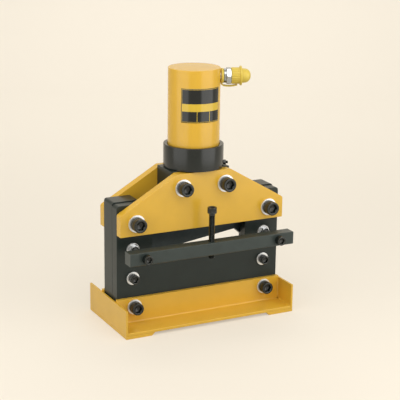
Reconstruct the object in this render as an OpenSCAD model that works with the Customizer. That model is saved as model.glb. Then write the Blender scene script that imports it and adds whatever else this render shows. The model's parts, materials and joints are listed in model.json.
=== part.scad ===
/* [Base] */
// Depth of the base from front to back
base_d = 180; // [160:1:240]
// Thickness of the floor plate
floor_t = 6; // [4:0.5:10]
// Height of the foot rails under the floor plate
foot_h = 6; // [4:0.5:10]
// Length of each foot rail where it meets the floor plate
foot_len = 60; // [40:1:90]
// Run of the slanted inner end of a foot rail
foot_slant = 6; // [2:0.5:12]
// Thickness of the upright end plates
end_t = 4; // [3:0.5:6]
// Gap between the frame and an end plate
side_gap = 2.5; // [1:0.5:8]
// Height of the end plates over the floor plate
end_h = 45; // [35:1:60]
// Thickness of the two walls that hold the frame
wall_t = 8; // [6:0.5:12]
// Height of the two walls over the floor plate
wall_h = 49; // [44:1:60]

/* [Frame] */
// Clear width of the throat, a little more than the widest busbar
throat_w = 204; // [160:1:260]
// Width of a column of the frame beside the throat
column_w = 74; // [62:1:90]
// Height of the throat floor over the floor plate
throat_h = 110; // [95:1:130]
// Thickness of the front layer of the frame
front_layer_t = 22; // [18:0.5:26]
// Thickness of the rear layer of the frame
rear_layer_t = 40; // [36:0.5:48]
// Height by which the front layer stops short of the rear one
front_layer_drop = 2; // [0:0.5:4]
// Radius of the outer column corners of the front layer
front_corner_r = 7; // [3:0.5:16]
// Radius of the outer column corners of the rear layer
rear_corner_r = 6; // [3:0.5:16]
// Length over which a lip covers the end of the moving blade
lip_overlap = 20; // [12:0.5:22]

/* [Cheek plates] */
// Thickness of a cheek plate
plate_t = 18; // [12:0.5:22]
// Height over which a plate covers the frame's columns
plate_cover = 59; // [50:0.5:66]
// Height of the plates' upright sides
plate_side_h = 41.5; // [36:0.5:48]
// Height by which the plates stand over the frame
plate_over = 52; // [44:0.5:60]
// Distance from the head block's side to the plates' top corner
plate_top_inset = 6; // [2:0.5:10]
// Radius of the break at the upper side corners
plate_break_r = 6; // [2:0.5:12]

/* [Head block] */
// Width of the block that carries the cylinder
block_w = 126; // [116:1:140]
// Gap between the block and the blade holder at rest
block_gap = 5; // [2:0.5:9]
// Height by which the block stands over the cheek plates
block_rise = 1.5; // [0.5:0.5:4]

/* [Cylinder] */
// Bore of the barrel
bore_d = 80; // [66:0.5:94]
// Wall of the barrel
barrel_wall = 10.5; // [9:0.5:14]
// Thickness of the closed barrel top
barrel_cap_t = 12; // [8:0.5:18]
// Chamfer round the top edge of the barrel
barrel_chamfer = 1.2; // [0.5:0.1:3]
// Wall of the mounting collar round the barrel
collar_wall = 8.25; // [6:0.25:12]
// Height of the mounting collar
collar_h = 45.5; // [36:0.5:60]
// Thickness of the ledge inside the collar
ledge_h = 5.5; // [4:0.5:8]
// Height of the rod gland inside the barrel
gland_h = 28.5; // [24:0.5:36]
// Wall of the gland's spigot round the rod
spigot_wall = 5; // [3:0.5:7]
// Depth of the gland's spigot in the head block
spigot_h = 26.5; // [20:0.5:32]
// Chamfer of the collar's mouth round the barrel
collar_mouth = 1.5; // [0.5:0.1:3]

/* [Ram] */
// Depth by which the blade passes the fixed one at the end of its travel
shear_over = 3; // [1:0.5:6]
// Diameter of the piston rod
rod_d = 40; // [34:0.5:46]
// Height of the piston
piston_h = 24; // [20:0.5:32]
// Diameter of the rod end that holds the piston
rod_top_d = 28; // [24:0.5:32]
// Height of the piston nut
piston_nut_h = 10; // [8:0.5:14]
// Width across the flats of the piston nut
piston_nut_af = 41; // [38:0.5:46]
// Oil space left over the piston nut at rest
rest_gap = 9; // [7:0.5:14]
// Diameter of the rod end in the blade holder
rod_foot_d = 30; // [24:0.5:34]
// Length of the rod end in the blade holder
rod_foot_h = 25; // [20:0.5:30]
// Diameter of the pin through holder and rod
holder_pin_d = 10; // [6:0.5:12]
// Width of the seal rings
seal_w = 6; // [4:0.5:8]
// Depth of the seal rings in their grooves
seal_depth = 4; // [3:0.5:5]

/* [Return spring] */
// Wire of the return spring
spring_wire = 6; // [4:0.5:6.5]
// Gap between the return spring and the barrel's bore
spring_play = 4; // [2:0.5:6]
// Number of coils of the return spring
spring_turns = 8; // [6:1:9]
// Length of the spring when the ram is fully down
spring_closed = 65; // [62:0.5:80]

/* [Blades] */
// Height of the moving blade's edge over the throat floor, in the middle
blade_open = 29.3; // [26:0.1:32]
// Slope of the moving blade's edge in degrees
blade_rake = 8; // [4:0.5:9]
// Relief angle under the moving blade in degrees
blade_relief = 4; // [1:0.5:8]
// Thickness of the moving blade
blade_t = 18; // [14:0.5:20]
// Height of the moving blade over the start of its heel
blade_hold_h = 43; // [34:0.5:52]
// Distance from the throat's side to the start of the blade's heel
heel_inset = 11.6; // [8:0.1:16]
// Drop of the heel below the cutting edge
heel_drop = 17; // [10:0.5:20]
// Slope of the heel in degrees
heel_slope = 41; // [35:1:55]
// Height of the fixed blade
fixed_blade_h = 30; // [24:0.5:33]
// Thickness of the fixed blade
fixed_blade_t = 12; // [10:0.5:13]
// Gap between the two blades
shear_gap = 0.1; // [0.05:0.01:0.2]
// Height of the blade holder behind the moving blade
holder_wing_h = 39; // [32:0.5:44]
// Height of the blade holder over the moving blade
holder_head_h = 38; // [32:0.5:46]
// Height by which the holder stops short of the frame's top
holder_drop = 3; // [2:0.5:6]
// Height by which the holder's ends stop short of its middle
wing_drop = 20; // [5:0.5:28]
// Free height under the moving blade at the end of its travel
slot_gap = 9.2; // [6:0.1:12]

/* [Hold-down] */
// Height and depth of the hold-down bar
bar_size = 25; // [22:0.5:30]
// Chamfer along the hold-down bar
bar_chamfer = 1.2; // [0.5:0.1:3]
// Height of the bar's underside over the throat floor
bar_rise = 23; // [18:0.5:26]
// Clear space between the bar and the frame
bar_gap = 39; // [32:0.5:50]
// Length of the hold-down screw under its head
hold_screw_len = 90; // [84:1:100]
// Height of the hold-down screw's tip over the throat floor
hold_tip_rise = 14; // [10:0.5:16]

/* [Fasteners] */
// Thread size of the cheek plates' bolts
big_bolt_d = 18; // [14:1:20]
// Thread size of the base's bolts
base_bolt_d = 16; // [12:1:18]
// Thread size of the small bolts
small_bolt_d = 12; // [10:1:14]
// Thread size of the moving blade's screws
blade_screw_d = 10; // [8:0.5:12]
// Thread size of the fixed blade's screws
fixed_screw_d = 8; // [6:0.5:8]
// Outer diameter of the cheek plates' washers
big_washer_d = 34; // [31:0.5:36]
// Outer diameter of the base's washers
base_washer_d = 30; // [28:0.5:34]
// Outer diameter of the small washers
small_washer_d = 26; // [23:0.5:28]
// Thickness of the cheek plates' and the base's washers
big_washer_t = 3; // [2:0.1:4]
// Thickness of the small washers
small_washer_t = 2.5; // [2:0.1:3]
// Extra diameter of the clearance holes
hole_play = 1; // [0.4:0.1:1.4]
// Distance from the throat's side to the bolts in the columns
column_bolt_inset = 41; // [34:0.5:48]
// Distance from the head block's side to its bolts
block_bolt_inset = 17.5; // [12:0.5:20]
// Height of the head block's bolts below the plates' top
block_bolt_drop = 27.5; // [24:0.5:30]
// Height of the upper column bolts over the plates' lower edge
plate_bolt_rise = 24.5; // [20:0.5:26]
// Height of the frame bolts below the throat floor
frame_bolt_drop = 22.5; // [16:0.5:30]
// Depth of a thread in the rear frame layer
thread_depth = 20; // [14:0.5:28]

/* [Coupler] */
// Turn of the oil coupler from the right towards the front in degrees
coupler_turn = 22; // [0:1:40]
// Height of the coupler's axis below the barrel's top
port_drop = 17; // [15.5:0.5:18]
// Bore of the oil passage
port_d = 8; // [5:0.5:9]
// Diameter of the adapter's neck in the barrel
neck_d = 18; // [14:0.5:20]
// Length of the adapter's neck outside the barrel
neck_len = 6; // [5:0.5:10]
// Depth of the adapter's thread in the barrel wall
neck_depth = 7.5; // [5:0.5:8]
// Width across the flats of the adapter
adapter_af = 30; // [28:0.5:34]
// Length of the adapter's hexagon
adapter_len = 9.5; // [8:0.5:14]
// Length of the adapter's round rim before the hexagon
rim_len = 4.5; // [3:0.5:7]
// Diameter of the adapter's round rim
rim_d = 28; // [24:0.5:32]
// Turn of the adapter's flats about its axis in degrees
adapter_turn = 30; // [0:1:60]
// Diameter of the coupler half's thread
coupler_d = 24; // [20:0.5:25]
// Length of the coupler half in front of the adapter
coupler_len = 26; // [20:0.5:28]
// Diameter of the coupler half's mouth
mouth_d = 15; // [12:0.5:17]
// Depth of the coupler half's mouth
mouth_depth = 16; // [10:0.5:18]
// Wall of the dust cap's ribbed grip
grip_wall = 3.5; // [3:0.1:6]
// Length of the dust cap's ribbed grip
grip_len = 16.5; // [12:0.5:20]
// Number of grooves round the grip
grip_grooves = 20; // [12:1:28]
// Radius of a groove in the grip
groove_r = 1; // [0.5:0.1:1.4]
// Height of the dust cap's flange over its grip
flange_lip = 3.2; // [1:0.1:4]
// Width of the dust cap's flange
flange_w = 3.5; // [2:0.5:5]
// Wall of the dust cap's dome
dome_wall = 1.8; // [0.8:0.1:2.5]
// Length of the dust cap's dome
dome_len = 17.5; // [16:0.5:22]
// Thickness of the strap between neck and dust cap
strap_t = 2.6; // [1.5:0.1:4]
// Width of the strap
strap_w = 9; // [6:0.5:12]
// Thickness of the strap's ring round the neck
strap_ring_t = 5; // [3:0.5:6]
// Depth by which the strap hangs clear of the adapter
strap_sag = 1.2; // [0.8:0.1:6]

/* [Label] */
// Height of the label
label_h = 65; // [50:1:75]
// Height of the label's lower edge over the collar
label_rise = 49; // [40:1:52]
// Angle that the label covers on the barrel in degrees
label_sweep = 94; // [60:1:120]
// Turn of the label's middle from the front towards the left in degrees
label_turn = 8; // [0:1:20]
// Thickness of the label
label_t = 0.4; // [0.3:0.05:0.8]

/* [Lock screw] */
// Thread size of the collar's lock screw
lock_d = 6; // [4:0.5:6]
// Length of the lock screw outside the collar
lock_reach = 9; // [8:0.5:16]
// Thickness of the lock nut
lock_nut_t = 5; // [4:0.5:7]
// Gap between the lock nut and the head block
lock_gap = 0.8; // [0.4:0.1:4]

/* [Hidden] */
$fn = 72;

yellow_paint = [0.86, 0.68, 0.24];
black_oxide = [0.17, 0.18, 0.17];
black_frame = [0.2, 0.21, 0.2];
bright_zinc = [0.84, 0.85, 0.87];
ground_steel = [0.6, 0.61, 0.62];
dark_steel = [0.35, 0.35, 0.36];
seal_green = [0.16, 0.3, 0.24];
cap_yellow = [0.87, 0.77, 0.2];
label_dark = [0.12, 0.12, 0.13];

// Overrun of a cut past the face that it opens
over = 1;
// Clearance between flat faces that slide
slide_fit = 0.3;
// Radial clearance of a running fit
run_fit = 0.05;
// Radial clearance of a thread or press fit within one body
seat_fit = 0.02;
// Radial clearance of the dust cap on the coupler half
cap_fit = 0.3;

// Proportions of a socket head screw, as shares of its thread
head_d_share = 1.5;
key_af_share = 0.84;
key_depth_share = 0.5;
head_edge_share = 0.08;
tip_edge_share = 0.1;
csk_d_share = 2;
// Height of the base bolts as a share of the walls
base_bolt_share = 0.65;
// Proportions of a hexagon nut, as shares of its thread
nut_af_share = 1.5;
nut_h_share = 0.8;
// Radius of the dust cap's round end as a share of its dome
dome_nose_share = 0.85;

// Widths
frame_w = throat_w + 2 * column_w;
inner_half = frame_w / 2 + side_gap;
base_w = 2 * (inner_half + end_t);
slot_half = throat_w / 2 + lip_overlap;
blade_half = slot_half - slide_fit;
head_half = throat_w / 2 - slide_fit;
heel_x = throat_w / 2 - heel_inset;
column_bolt_x = throat_w / 2 + column_bolt_inset;
block_bolt_x = block_w / 2 - block_bolt_inset;

// Heights of the base, the blade and the frame
floor_top = foot_h + floor_t;
throat_z = floor_top + throat_h;
// Height of the moving blade's cutting edge at a place along the machine
function edge_z(x) = throat_z + blade_open + x * tan(blade_rake);
blade_low_z = edge_z(-blade_half);
blade_top = edge_z(heel_x) + blade_hold_h;
stroke = edge_z(heel_x) - throat_z + shear_over;
slot_z = blade_low_z - stroke - slot_gap;
holder_low = blade_top - holder_wing_h;
holder_top = blade_top + holder_head_h;
wing_top = holder_top - wing_drop;
frame_top = holder_top + holder_drop;
plate_low_z = frame_top - plate_cover;
plate_side_z = plate_low_z + plate_side_h;
plate_top_z = frame_top + plate_over;
bar_low = throat_z + bar_rise;
bar_mid_z = bar_low + bar_size / 2;

// Heights of the head and the cylinder
block_low = holder_top + block_gap;
block_top = plate_top_z + block_rise;
barrel_low = block_top + ledge_h;
gland_top = block_top + gland_h;
piston_low = gland_top + spring_closed + stroke;
piston_top = piston_low + piston_h;
nut_top = piston_top + piston_nut_h;
bore_top = nut_top + rest_gap;
barrel_top = bore_top + barrel_cap_t;
port_z = barrel_top - port_drop;

// Depths, from the front towards the rear
frame_d = front_layer_t + rear_layer_t;
front_y = -frame_d / 2;
rear_y = frame_d / 2;
shear_y = front_y + front_layer_t;
blade_front = shear_y + shear_gap;
blade_rear = blade_front + blade_t;
bar_rear = front_y - bar_gap;
bar_front = bar_rear - bar_size;
front_reach = max(base_d / 2, small_bolt_d - bar_front);
axis_y = (front_reach - base_d / 2) / 2;

// Places of the bolts as [x, z]
column_sides = [-column_bolt_x, column_bolt_x];
block_sides = [-block_bolt_x, block_bolt_x];
plate_bolt_z = plate_low_z + plate_bolt_rise;
block_bolt_z = plate_top_z - block_bolt_drop;
base_bolt_z = floor_top + wall_h * base_bolt_share;
frame_bolt_z = throat_z - frame_bolt_drop;
cheek_places = [
  for (x = column_sides) [x, plate_bolt_z],
  for (x = block_sides) [x, block_bolt_z]
];
base_places = [for (x = column_sides) [x, base_bolt_z]];
frame_places = [for (x = column_sides) [x, frame_bolt_z]];
bar_places = [for (x = column_sides) [x, bar_mid_z]];
// Places of the blade screws as shares of half the blade's length
moving_screw_shares = [-0.78, -0.26, 0.26, 0.78];
fixed_screw_shares = [-0.7, 0, 0.7];
// Share of the holder's thickness that a moving blade screw reaches into
screw_reach_share = 0.7;
moving_screw_z = blade_top - blade_screw_d * csk_d_share;
fixed_screw_z = throat_z - fixed_blade_h / 2;

// Cylinder parts, outwards from the axis
bore_r = bore_d / 2;
barrel_r = bore_r + barrel_wall;
collar_r = barrel_r + collar_wall;
spring_d = bore_d - 2 * spring_play;
spigot_d = rod_d + 2 * spigot_wall;
rim_r0 = barrel_r + neck_len;
adapter_r0 = rim_r0 + rim_len;
adapter_r1 = adapter_r0 + adapter_len;
adapter_corner_r = adapter_af / 2 / cos(30);
cavity_r = coupler_d / 2 + cap_fit;
grip_r = cavity_r + grip_wall;
flange_r = grip_r + flange_lip;
dome_r = cavity_r + dome_wall;
dome_nose_r = dome_r * dome_nose_share;
cap_r0 = adapter_r1 + slide_fit;
lock_z = block_top + lock_d * nut_af_share / 2 / cos(30) + lock_gap;
label_low = block_top + collar_h + label_rise;

// Turns the model so that its origin lies below the middle of its bounding box
module placed() {
  translate([0, axis_y, 0]) children();
}

// A flat outline in X and Z, made solid from its rear face towards the front
module slab(rear, thickness) {
  translate([0, rear, 0]) rotate([90, 0, 0]) linear_extrude(thickness) children();
}

// The same shape on the right and on the left
module both_sides() {
  children();
  mirror([1, 0, 0]) children();
}

// A bolt's own axis pointing to the front, at a place in X and Z
module facing_front(place, y) {
  translate([place[0], y, place[1]]) rotate([90, 0, 0]) children();
}

// Round holes through a slab at a list of places
module holes(places, diameter, front, rear) {
  for (place = places)
    facing_front(place, rear + over) cylinder(h = rear - front + 2 * over, d = diameter);
}

// Socket head screw with its seat at zero and its head upwards
module socket_screw(thread, length) {
  head_r = thread * head_d_share / 2;
  edge = thread * head_edge_share;
  tip = thread * tip_edge_share;
  difference() {
    rotate_extrude()
      polygon([
        [0, -length], [thread / 2 - tip, -length], [thread / 2, tip - length],
        [thread / 2, 0], [head_r, 0], [head_r, thread - edge], [head_r - edge, thread],
        [0, thread]
      ]);
    translate([0, 0, thread * (1 - key_depth_share)])
      cylinder(h = thread, d = thread * key_af_share / cos(30), $fn = 6);
  }
}

// Countersunk screw, or its hole when it is given some play
module flush_screw(thread, length, play = 0) {
  head_r = thread * csk_d_share / 2 + play;
  shank_r = thread / 2 + play;
  rotate_extrude()
    polygon([
      [0, -length - play], [shank_r, -length - play], [shank_r, shank_r - head_r],
      [head_r, 0], [0, 0]
    ]);
}

// Countersunk screw with its hexagon socket
module flush_socket_screw(thread, length) {
  difference() {
    flush_screw(thread, length);
    translate([0, 0, -thread * key_depth_share])
      cylinder(h = thread, d = thread * key_af_share / cos(30), $fn = 6);
  }
}

// Flat washer standing on zero
module washer(outer_d, inner_d, thickness) {
  difference() {
    cylinder(h = thickness, d = outer_d);
    translate([0, 0, -over]) cylinder(h = thickness + 2 * over, d = inner_d);
  }
}

// Hexagon nut standing on zero, chamfered at both ends
module hex_nut(bore, flats, height) {
  corner_r = flats / 2 / cos(30);
  slope = corner_r - flats / 2;
  difference() {
    intersection() {
      cylinder(h = height, r = corner_r, $fn = 6);
      rotate_extrude()
        polygon([
          [0, 0], [flats / 2, 0], [corner_r, slope / 2], [corner_r, height - slope / 2],
          [flats / 2, height], [0, height]
        ]);
    }
    translate([0, 0, -over]) cylinder(h = height + 2 * over, d = bore);
  }
}

// Upright outline of the right column, with a round outer top corner
module column_outline(x0, x1, z0, z1, corner_r) {
  translate([x0, z0]) square([x1 - x0, z1 - z0 - corner_r]);
  translate([x0, z0]) square([x1 - x0 - corner_r, z1 - z0]);
  translate([x1 - corner_r, z1 - corner_r]) circle(r = corner_r);
}

// Outline of one frame layer, two columns on a cross member
module frame_outline(inner_x, step_z, top_z, corner_r) {
  both_sides() column_outline(inner_x, frame_w / 2, floor_top, top_z, corner_r);
  translate([-inner_x - over, floor_top])
    square([2 * (inner_x + over), step_z - floor_top]);
}

// Base

module base_floor_plate() {
  placed() color(yellow_paint)
    translate([-inner_half, -base_d / 2, foot_h]) cube([2 * inner_half, base_d, floor_t]);
}

module base_foot_rails() {
  placed() color(yellow_paint)
    slab(base_d / 2, base_d) both_sides()
      polygon([
        [base_w / 2 - foot_len, foot_h], [base_w / 2 - foot_len + foot_slant, 0],
        [base_w / 2, 0], [base_w / 2, foot_h]
      ]);
}

module base_end_plate(x) {
  placed() color(yellow_paint)
    translate([x, -base_d / 2, foot_h]) cube([end_t, base_d, floor_t + end_h]);
}

module base_wall(rear) {
  placed() color(yellow_paint) difference() {
    slab(rear, wall_t)
      translate([-inner_half, floor_top]) square([2 * inner_half, wall_h]);
    holes(base_places, base_bolt_d + hole_play, rear - wall_t, rear);
  }
}

// Frame

module frame_front_layer() {
  placed() color(black_frame) difference() {
    slab(shear_y, front_layer_t)
      frame_outline(throat_w / 2, throat_z, frame_top - front_layer_drop, front_corner_r);
    translate([-throat_w / 2, shear_y - fixed_blade_t, throat_z - fixed_blade_h])
      cube([throat_w, fixed_blade_t + over, fixed_blade_h + over]);
    holes(cheek_places, big_bolt_d + hole_play, front_y, shear_y);
    holes(base_places, base_bolt_d + hole_play, front_y, shear_y);
    holes(frame_places, small_bolt_d + hole_play, front_y, shear_y);
    holes(bar_places, small_bolt_d + hole_play, front_y, shear_y);
    fixed_screw_places() flush_screw(fixed_screw_d, fixed_screw_length(), seat_fit);
  }
}

module frame_rear_layer() {
  placed() color(black_frame) difference() {
    slab(rear_y, rear_layer_t)
      frame_outline(slot_half, slot_z, frame_top, rear_corner_r);
    holes(cheek_places, big_bolt_d + hole_play, shear_y, rear_y);
    holes(base_places, base_bolt_d + hole_play, shear_y, rear_y);
    for (place = concat(frame_places, bar_places))
      facing_front(place, shear_y + thread_depth)
        cylinder(h = thread_depth + over, d = small_bolt_d + 2 * seat_fit);
  }
}

// Length of a fixed blade screw, which stops inside the front layer
function fixed_screw_length() = fixed_blade_t + (front_layer_t - fixed_blade_t) / 2;

// The fixed blade's screws go in from the slot behind it
module fixed_screw_places() {
  for (share = fixed_screw_shares)
    translate([share * throat_w / 2, shear_y, fixed_screw_z]) rotate([-90, 0, 0]) children();
}

module fixed_blade() {
  placed() color(ground_steel) difference() {
    translate([seat_fit - throat_w / 2, shear_y - fixed_blade_t, throat_z - fixed_blade_h])
      cube([throat_w - 2 * seat_fit, fixed_blade_t, fixed_blade_h]);
    fixed_screw_places() flush_screw(fixed_screw_d, fixed_screw_length(), seat_fit);
  }
}

module fixed_blade_screws() {
  placed() color(black_oxide) fixed_screw_places()
    flush_socket_screw(fixed_screw_d, fixed_screw_length());
}

// Cheek plates

// Shares of the break's arc at which its outline has a point
break_shares = [0, 0.25, 0.5, 0.75, 1];

module cheek_outline() {
  half = frame_w / 2;
  top_half = block_w / 2 - plate_top_inset;
  slope = atan2(plate_top_z - plate_side_z, half - top_half);
  // The break's arc touches both the vertical side and the slope
  reach = plate_break_r * tan((90 - slope) / 2);
  centre = [half - plate_break_r, plate_side_z - reach];
  arc = [
    for (share = break_shares)
      centre + plate_break_r * [cos(share * (90 - slope)), sin(share * (90 - slope))]
  ];
  right = concat([[half, plate_low_z]], arc, [[top_half, plate_top_z]]);
  left = [for (i = [len(right) - 1 : -1 : 0]) [-right[i][0], right[i][1]]];
  polygon(concat(right, left));
}

module cheek_plate(rear) {
  placed() color(yellow_paint) difference() {
    slab(rear, plate_t) cheek_outline();
    holes(cheek_places, big_bolt_d + hole_play, rear - plate_t, rear);
  }
}

// Through bolts of the cheek plates and of the base

// Socket bolts through the machine, with their heads in front of a plate
module through_bolts(places, thread, cover_t) {
  seat = front_y - cover_t - big_washer_t;
  length = frame_d + 2 * cover_t + 2 * big_washer_t + thread;
  placed() color(black_oxide)
    for (place = places) facing_front(place, seat) socket_screw(thread, length);
}

module through_washers(places, outer_d, thread, cover_t) {
  placed() color(bright_zinc)
    for (place = places) for (y = [front_y - cover_t, rear_y + cover_t + big_washer_t])
      facing_front(place, y) washer(outer_d, thread + hole_play, big_washer_t);
}

module through_nuts(places, thread, cover_t) {
  height = thread * nut_h_share;
  placed() color(black_oxide) for (place = places)
    facing_front(place, rear_y + cover_t + big_washer_t + height)
      hex_nut(thread + 2 * seat_fit, thread * nut_af_share, height);
}

module frame_bolts() {
  placed() color(black_oxide) for (place = frame_places)
    facing_front(place, front_y - small_washer_t)
      socket_screw(small_bolt_d, front_layer_t + small_washer_t + thread_depth);
}

module frame_washers() {
  placed() color(bright_zinc) for (place = frame_places)
    facing_front(place, front_y)
      washer(small_washer_d, small_bolt_d + hole_play, small_washer_t);
}

// Head block, gland and collar

module head_block() {
  placed() color(black_frame) difference() {
    translate([-block_w / 2, front_y, block_low]) cube([block_w, frame_d, block_top - block_low]);
    translate([0, 0, block_top - spigot_h])
      cylinder(h = spigot_h + over, d = spigot_d + 2 * seat_fit);
    translate([0, 0, block_low - over])
      cylinder(h = block_top - block_low, d = rod_d + 2 * hole_play);
    holes(cheek_places, big_bolt_d + hole_play, front_y, rear_y);
  }
}

// Middle of the seal groove inside the gland
gland_seal_z = block_top + gland_h / 2;

module rod_gland() {
  placed() color(ground_steel) difference() {
    union() {
      translate([0, 0, block_top]) cylinder(h = gland_h, d = bore_d - 2 * seat_fit);
      translate([0, 0, block_top - spigot_h]) cylinder(h = spigot_h, d = spigot_d);
    }
    translate([0, 0, block_top - spigot_h - over])
      cylinder(h = spigot_h + gland_h + 2 * over, d = rod_d + 2 * run_fit);
    translate([0, 0, gland_seal_z - seal_w / 2])
      cylinder(h = seal_w, d = rod_d + 2 * seal_depth);
  }
}

module gland_seal() {
  placed() color(seal_green) translate([0, 0, gland_seal_z - seal_w / 2 + seat_fit])
    washer(rod_d + 2 * (seal_depth - seat_fit), rod_d + 2 * seat_fit, seal_w - 2 * seat_fit);
}

// Lock screw axis, with its own axis pointing out of the collar
module lock_axis(reach) {
  rotate([0, 0, -coupler_turn]) translate([reach, 0, lock_z]) rotate([0, 90, 0]) children();
}

module mounting_collar() {
  edge = collar_r - barrel_chamfer;
  placed() color(black_oxide) difference() {
    translate([0, 0, block_top]) rotate_extrude()
      polygon([
        [bore_r + seat_fit, 0], [edge, 0], [collar_r, barrel_chamfer],
        [collar_r, collar_h - barrel_chamfer], [edge, collar_h],
        [barrel_r + seat_fit + collar_mouth, collar_h],
        [barrel_r + seat_fit, collar_h - collar_mouth], [barrel_r + seat_fit, ledge_h],
        [bore_r + seat_fit, ledge_h]
      ]);
    lock_axis(barrel_r + seat_fit) cylinder(h = collar_r, d = lock_d + 2 * seat_fit);
  }
}

module collar_lock_screw() {
  start = barrel_r + 2 * seat_fit;
  length = collar_r + lock_reach - start;
  placed() color(black_oxide) lock_axis(start) difference() {
    cylinder(h = length, d = lock_d);
    translate([0, 0, length - lock_d * key_depth_share])
      cylinder(h = lock_d, d = lock_d * key_depth_share / cos(30), $fn = 6);
  }
}

module collar_lock_nut() {
  placed() color(black_oxide) lock_axis(collar_r)
    hex_nut(lock_d + 2 * seat_fit, lock_d * nut_af_share, lock_nut_t);
}

// Cylinder barrel and label

// Axis of the oil coupler, pointing away from the barrel
module coupler_axis(reach = 0) {
  translate([0, 0, port_z]) rotate([0, 0, -coupler_turn]) translate([reach, 0, 0])
    rotate([0, 90, 0]) children();
}

module cylinder_barrel() {
  placed() color(yellow_paint) difference() {
    rotate_extrude()
      polygon([
        [bore_r, barrel_low], [barrel_r, barrel_low], [barrel_r, barrel_top - barrel_chamfer],
        [barrel_r - barrel_chamfer, barrel_top], [0, barrel_top], [0, bore_top],
        [bore_r, bore_top]
      ]);
    coupler_axis(barrel_r - neck_depth) cylinder(h = barrel_r, d = neck_d + 2 * seat_fit);
    coupler_axis(bore_r - 2 * over) cylinder(h = barrel_r - bore_r, d = port_d);
  }
}

module label_plate() {
  placed() color(label_dark)
    rotate([0, 0, -90 - label_turn - label_sweep / 2]) rotate_extrude(angle = label_sweep)
      translate([barrel_r + run_fit, label_low]) square([label_t, label_h]);
}

// Oil coupler, dust cap and strap

module port_adapter() {
  placed() color(bright_zinc) difference() {
    union() {
      coupler_axis(barrel_r - neck_depth) cylinder(h = neck_depth + neck_len, d = neck_d);
      coupler_axis(rim_r0) cylinder(h = rim_len, d = rim_d);
      coupler_axis(adapter_r0) rotate([0, 0, adapter_turn])
        hex_nut(port_d, adapter_af, adapter_len);
    }
    coupler_axis(0) cylinder(h = adapter_r1 + over, d = port_d);
  }
}

module coupler_half() {
  edge = coupler_d * tip_edge_share;
  placed() color(bright_zinc) coupler_axis(adapter_r1) difference() {
    rotate_extrude()
      polygon([
        [0, 0], [coupler_d / 2, 0], [coupler_d / 2, coupler_len - edge],
        [coupler_d / 2 - edge, coupler_len], [0, coupler_len]
      ]);
    translate([0, 0, -over]) cylinder(h = coupler_len, d = port_d);
    translate([0, 0, coupler_len - mouth_depth])
      cylinder(h = mouth_depth + over, d = mouth_d);
  }
}

module dust_cap() {
  cavity = coupler_len + cap_fit;
  grooves = round(grip_grooves);
  placed() color(cap_yellow) coupler_axis(cap_r0) difference() {
    union() {
      cylinder(h = grip_len, r = grip_r);
      translate([0, 0, grip_len]) cylinder(h = flange_w, r = flange_r);
      translate([0, 0, grip_len + flange_w])
        cylinder(h = dome_len - dome_nose_r, r = dome_r);
      translate([0, 0, grip_len + flange_w + dome_len - dome_nose_r]) dome_nose();
    }
    translate([0, 0, -over]) cylinder(h = cavity + over, r = cavity_r);
    for (i = [1 : grooves]) rotate([0, 0, i * 360 / grooves])
      translate([grip_r + groove_r / 2, 0, -over])
        cylinder(h = grip_len - groove_r + over, r = groove_r, $fn = 16);
  }
}

// Rounded end of the dust cap
module dome_nose() {
  flat_r = dome_r - dome_nose_r;
  rotate_extrude() {
    square([flat_r, dome_nose_r]);
    translate([flat_r, 0]) intersection() {
      circle(r = dome_nose_r);
      square([dome_nose_r, dome_nose_r]);
    }
  }
}

// Middle line of the strap's tail as [distance along the coupler, depth below its axis]
ring_r = grip_r - strap_t / 2;
ring_middle = barrel_r + neck_len / 2;
tail_end_share = 0.72;
tail_reach_share = 0.6;
tail_end = [cap_r0 + grip_len * tail_end_share, grip_r + slide_fit + strap_t / 2];
tail_depth = adapter_corner_r + strap_t + strap_sag;
tail_parts = 14;
tail_shares = [for (i = [0 : tail_parts]) i / tail_parts];
tail_course = [
  [ring_middle, ring_r - strap_t], [barrel_r - neck_len / 2, tail_depth],
  [ring_middle + (tail_end[0] - ring_middle) * tail_reach_share, tail_depth], tail_end
];
// A cubic curve and its normal, from the ring to the dust cap
function tail_point(t) =
  (1 - t) ^ 3 * tail_course[0] + 3 * t * (1 - t) ^ 2 * tail_course[1]
  + 3 * t ^ 2 * (1 - t) * tail_course[2] + t ^ 3 * tail_course[3];
function tail_normal(t) =
  let (
    way = (1 - t) ^ 2 * (tail_course[1] - tail_course[0])
      + 2 * t * (1 - t) * (tail_course[2] - tail_course[1])
      + t ^ 2 * (tail_course[3] - tail_course[2])
  )
  [-way[1], way[0]] / norm(way);

module cap_strap() {
  outer = [for (t = tail_shares) tail_point(t) + tail_normal(t) * strap_t / 2];
  inner = [for (t = tail_shares) tail_point(1 - t) - tail_normal(1 - t) * strap_t / 2];
  placed() color(cap_yellow) difference() {
    union() {
      coupler_axis(ring_middle - strap_ring_t / 2) cylinder(h = strap_ring_t, r = ring_r);
      translate([0, 0, port_z]) rotate([0, 0, -coupler_turn])
        translate([0, strap_w / 2, 0]) rotate([90, 0, 0]) linear_extrude(strap_w)
          polygon([for (p = concat(outer, inner)) [p[0], -p[1]]]);
    }
    coupler_axis(barrel_r - over) cylinder(h = neck_len + 2 * over, d = neck_d + hole_play);
    cylinder(h = 2 * barrel_top, r = barrel_r + run_fit);
  }
}

// Ram

module piston() {
  placed() color(ground_steel) difference() {
    translate([0, 0, piston_low]) cylinder(h = piston_h, d = bore_d - 2 * run_fit);
    translate([0, 0, piston_low - over])
      cylinder(h = piston_h + 2 * over, d = rod_top_d + 2 * seat_fit);
    translate([0, 0, piston_low + piston_h / 2 - seal_w / 2])
      washer(bore_d + 2 * over, bore_d - 2 * seal_depth, seal_w);
  }
}

module piston_seal() {
  placed() color(seal_green)
    translate([0, 0, piston_low + piston_h / 2 - seal_w / 2 + seat_fit])
      washer(bore_d - 2 * seat_fit, bore_d - 2 * (seal_depth - seat_fit), seal_w - 2 * seat_fit);
}

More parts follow.
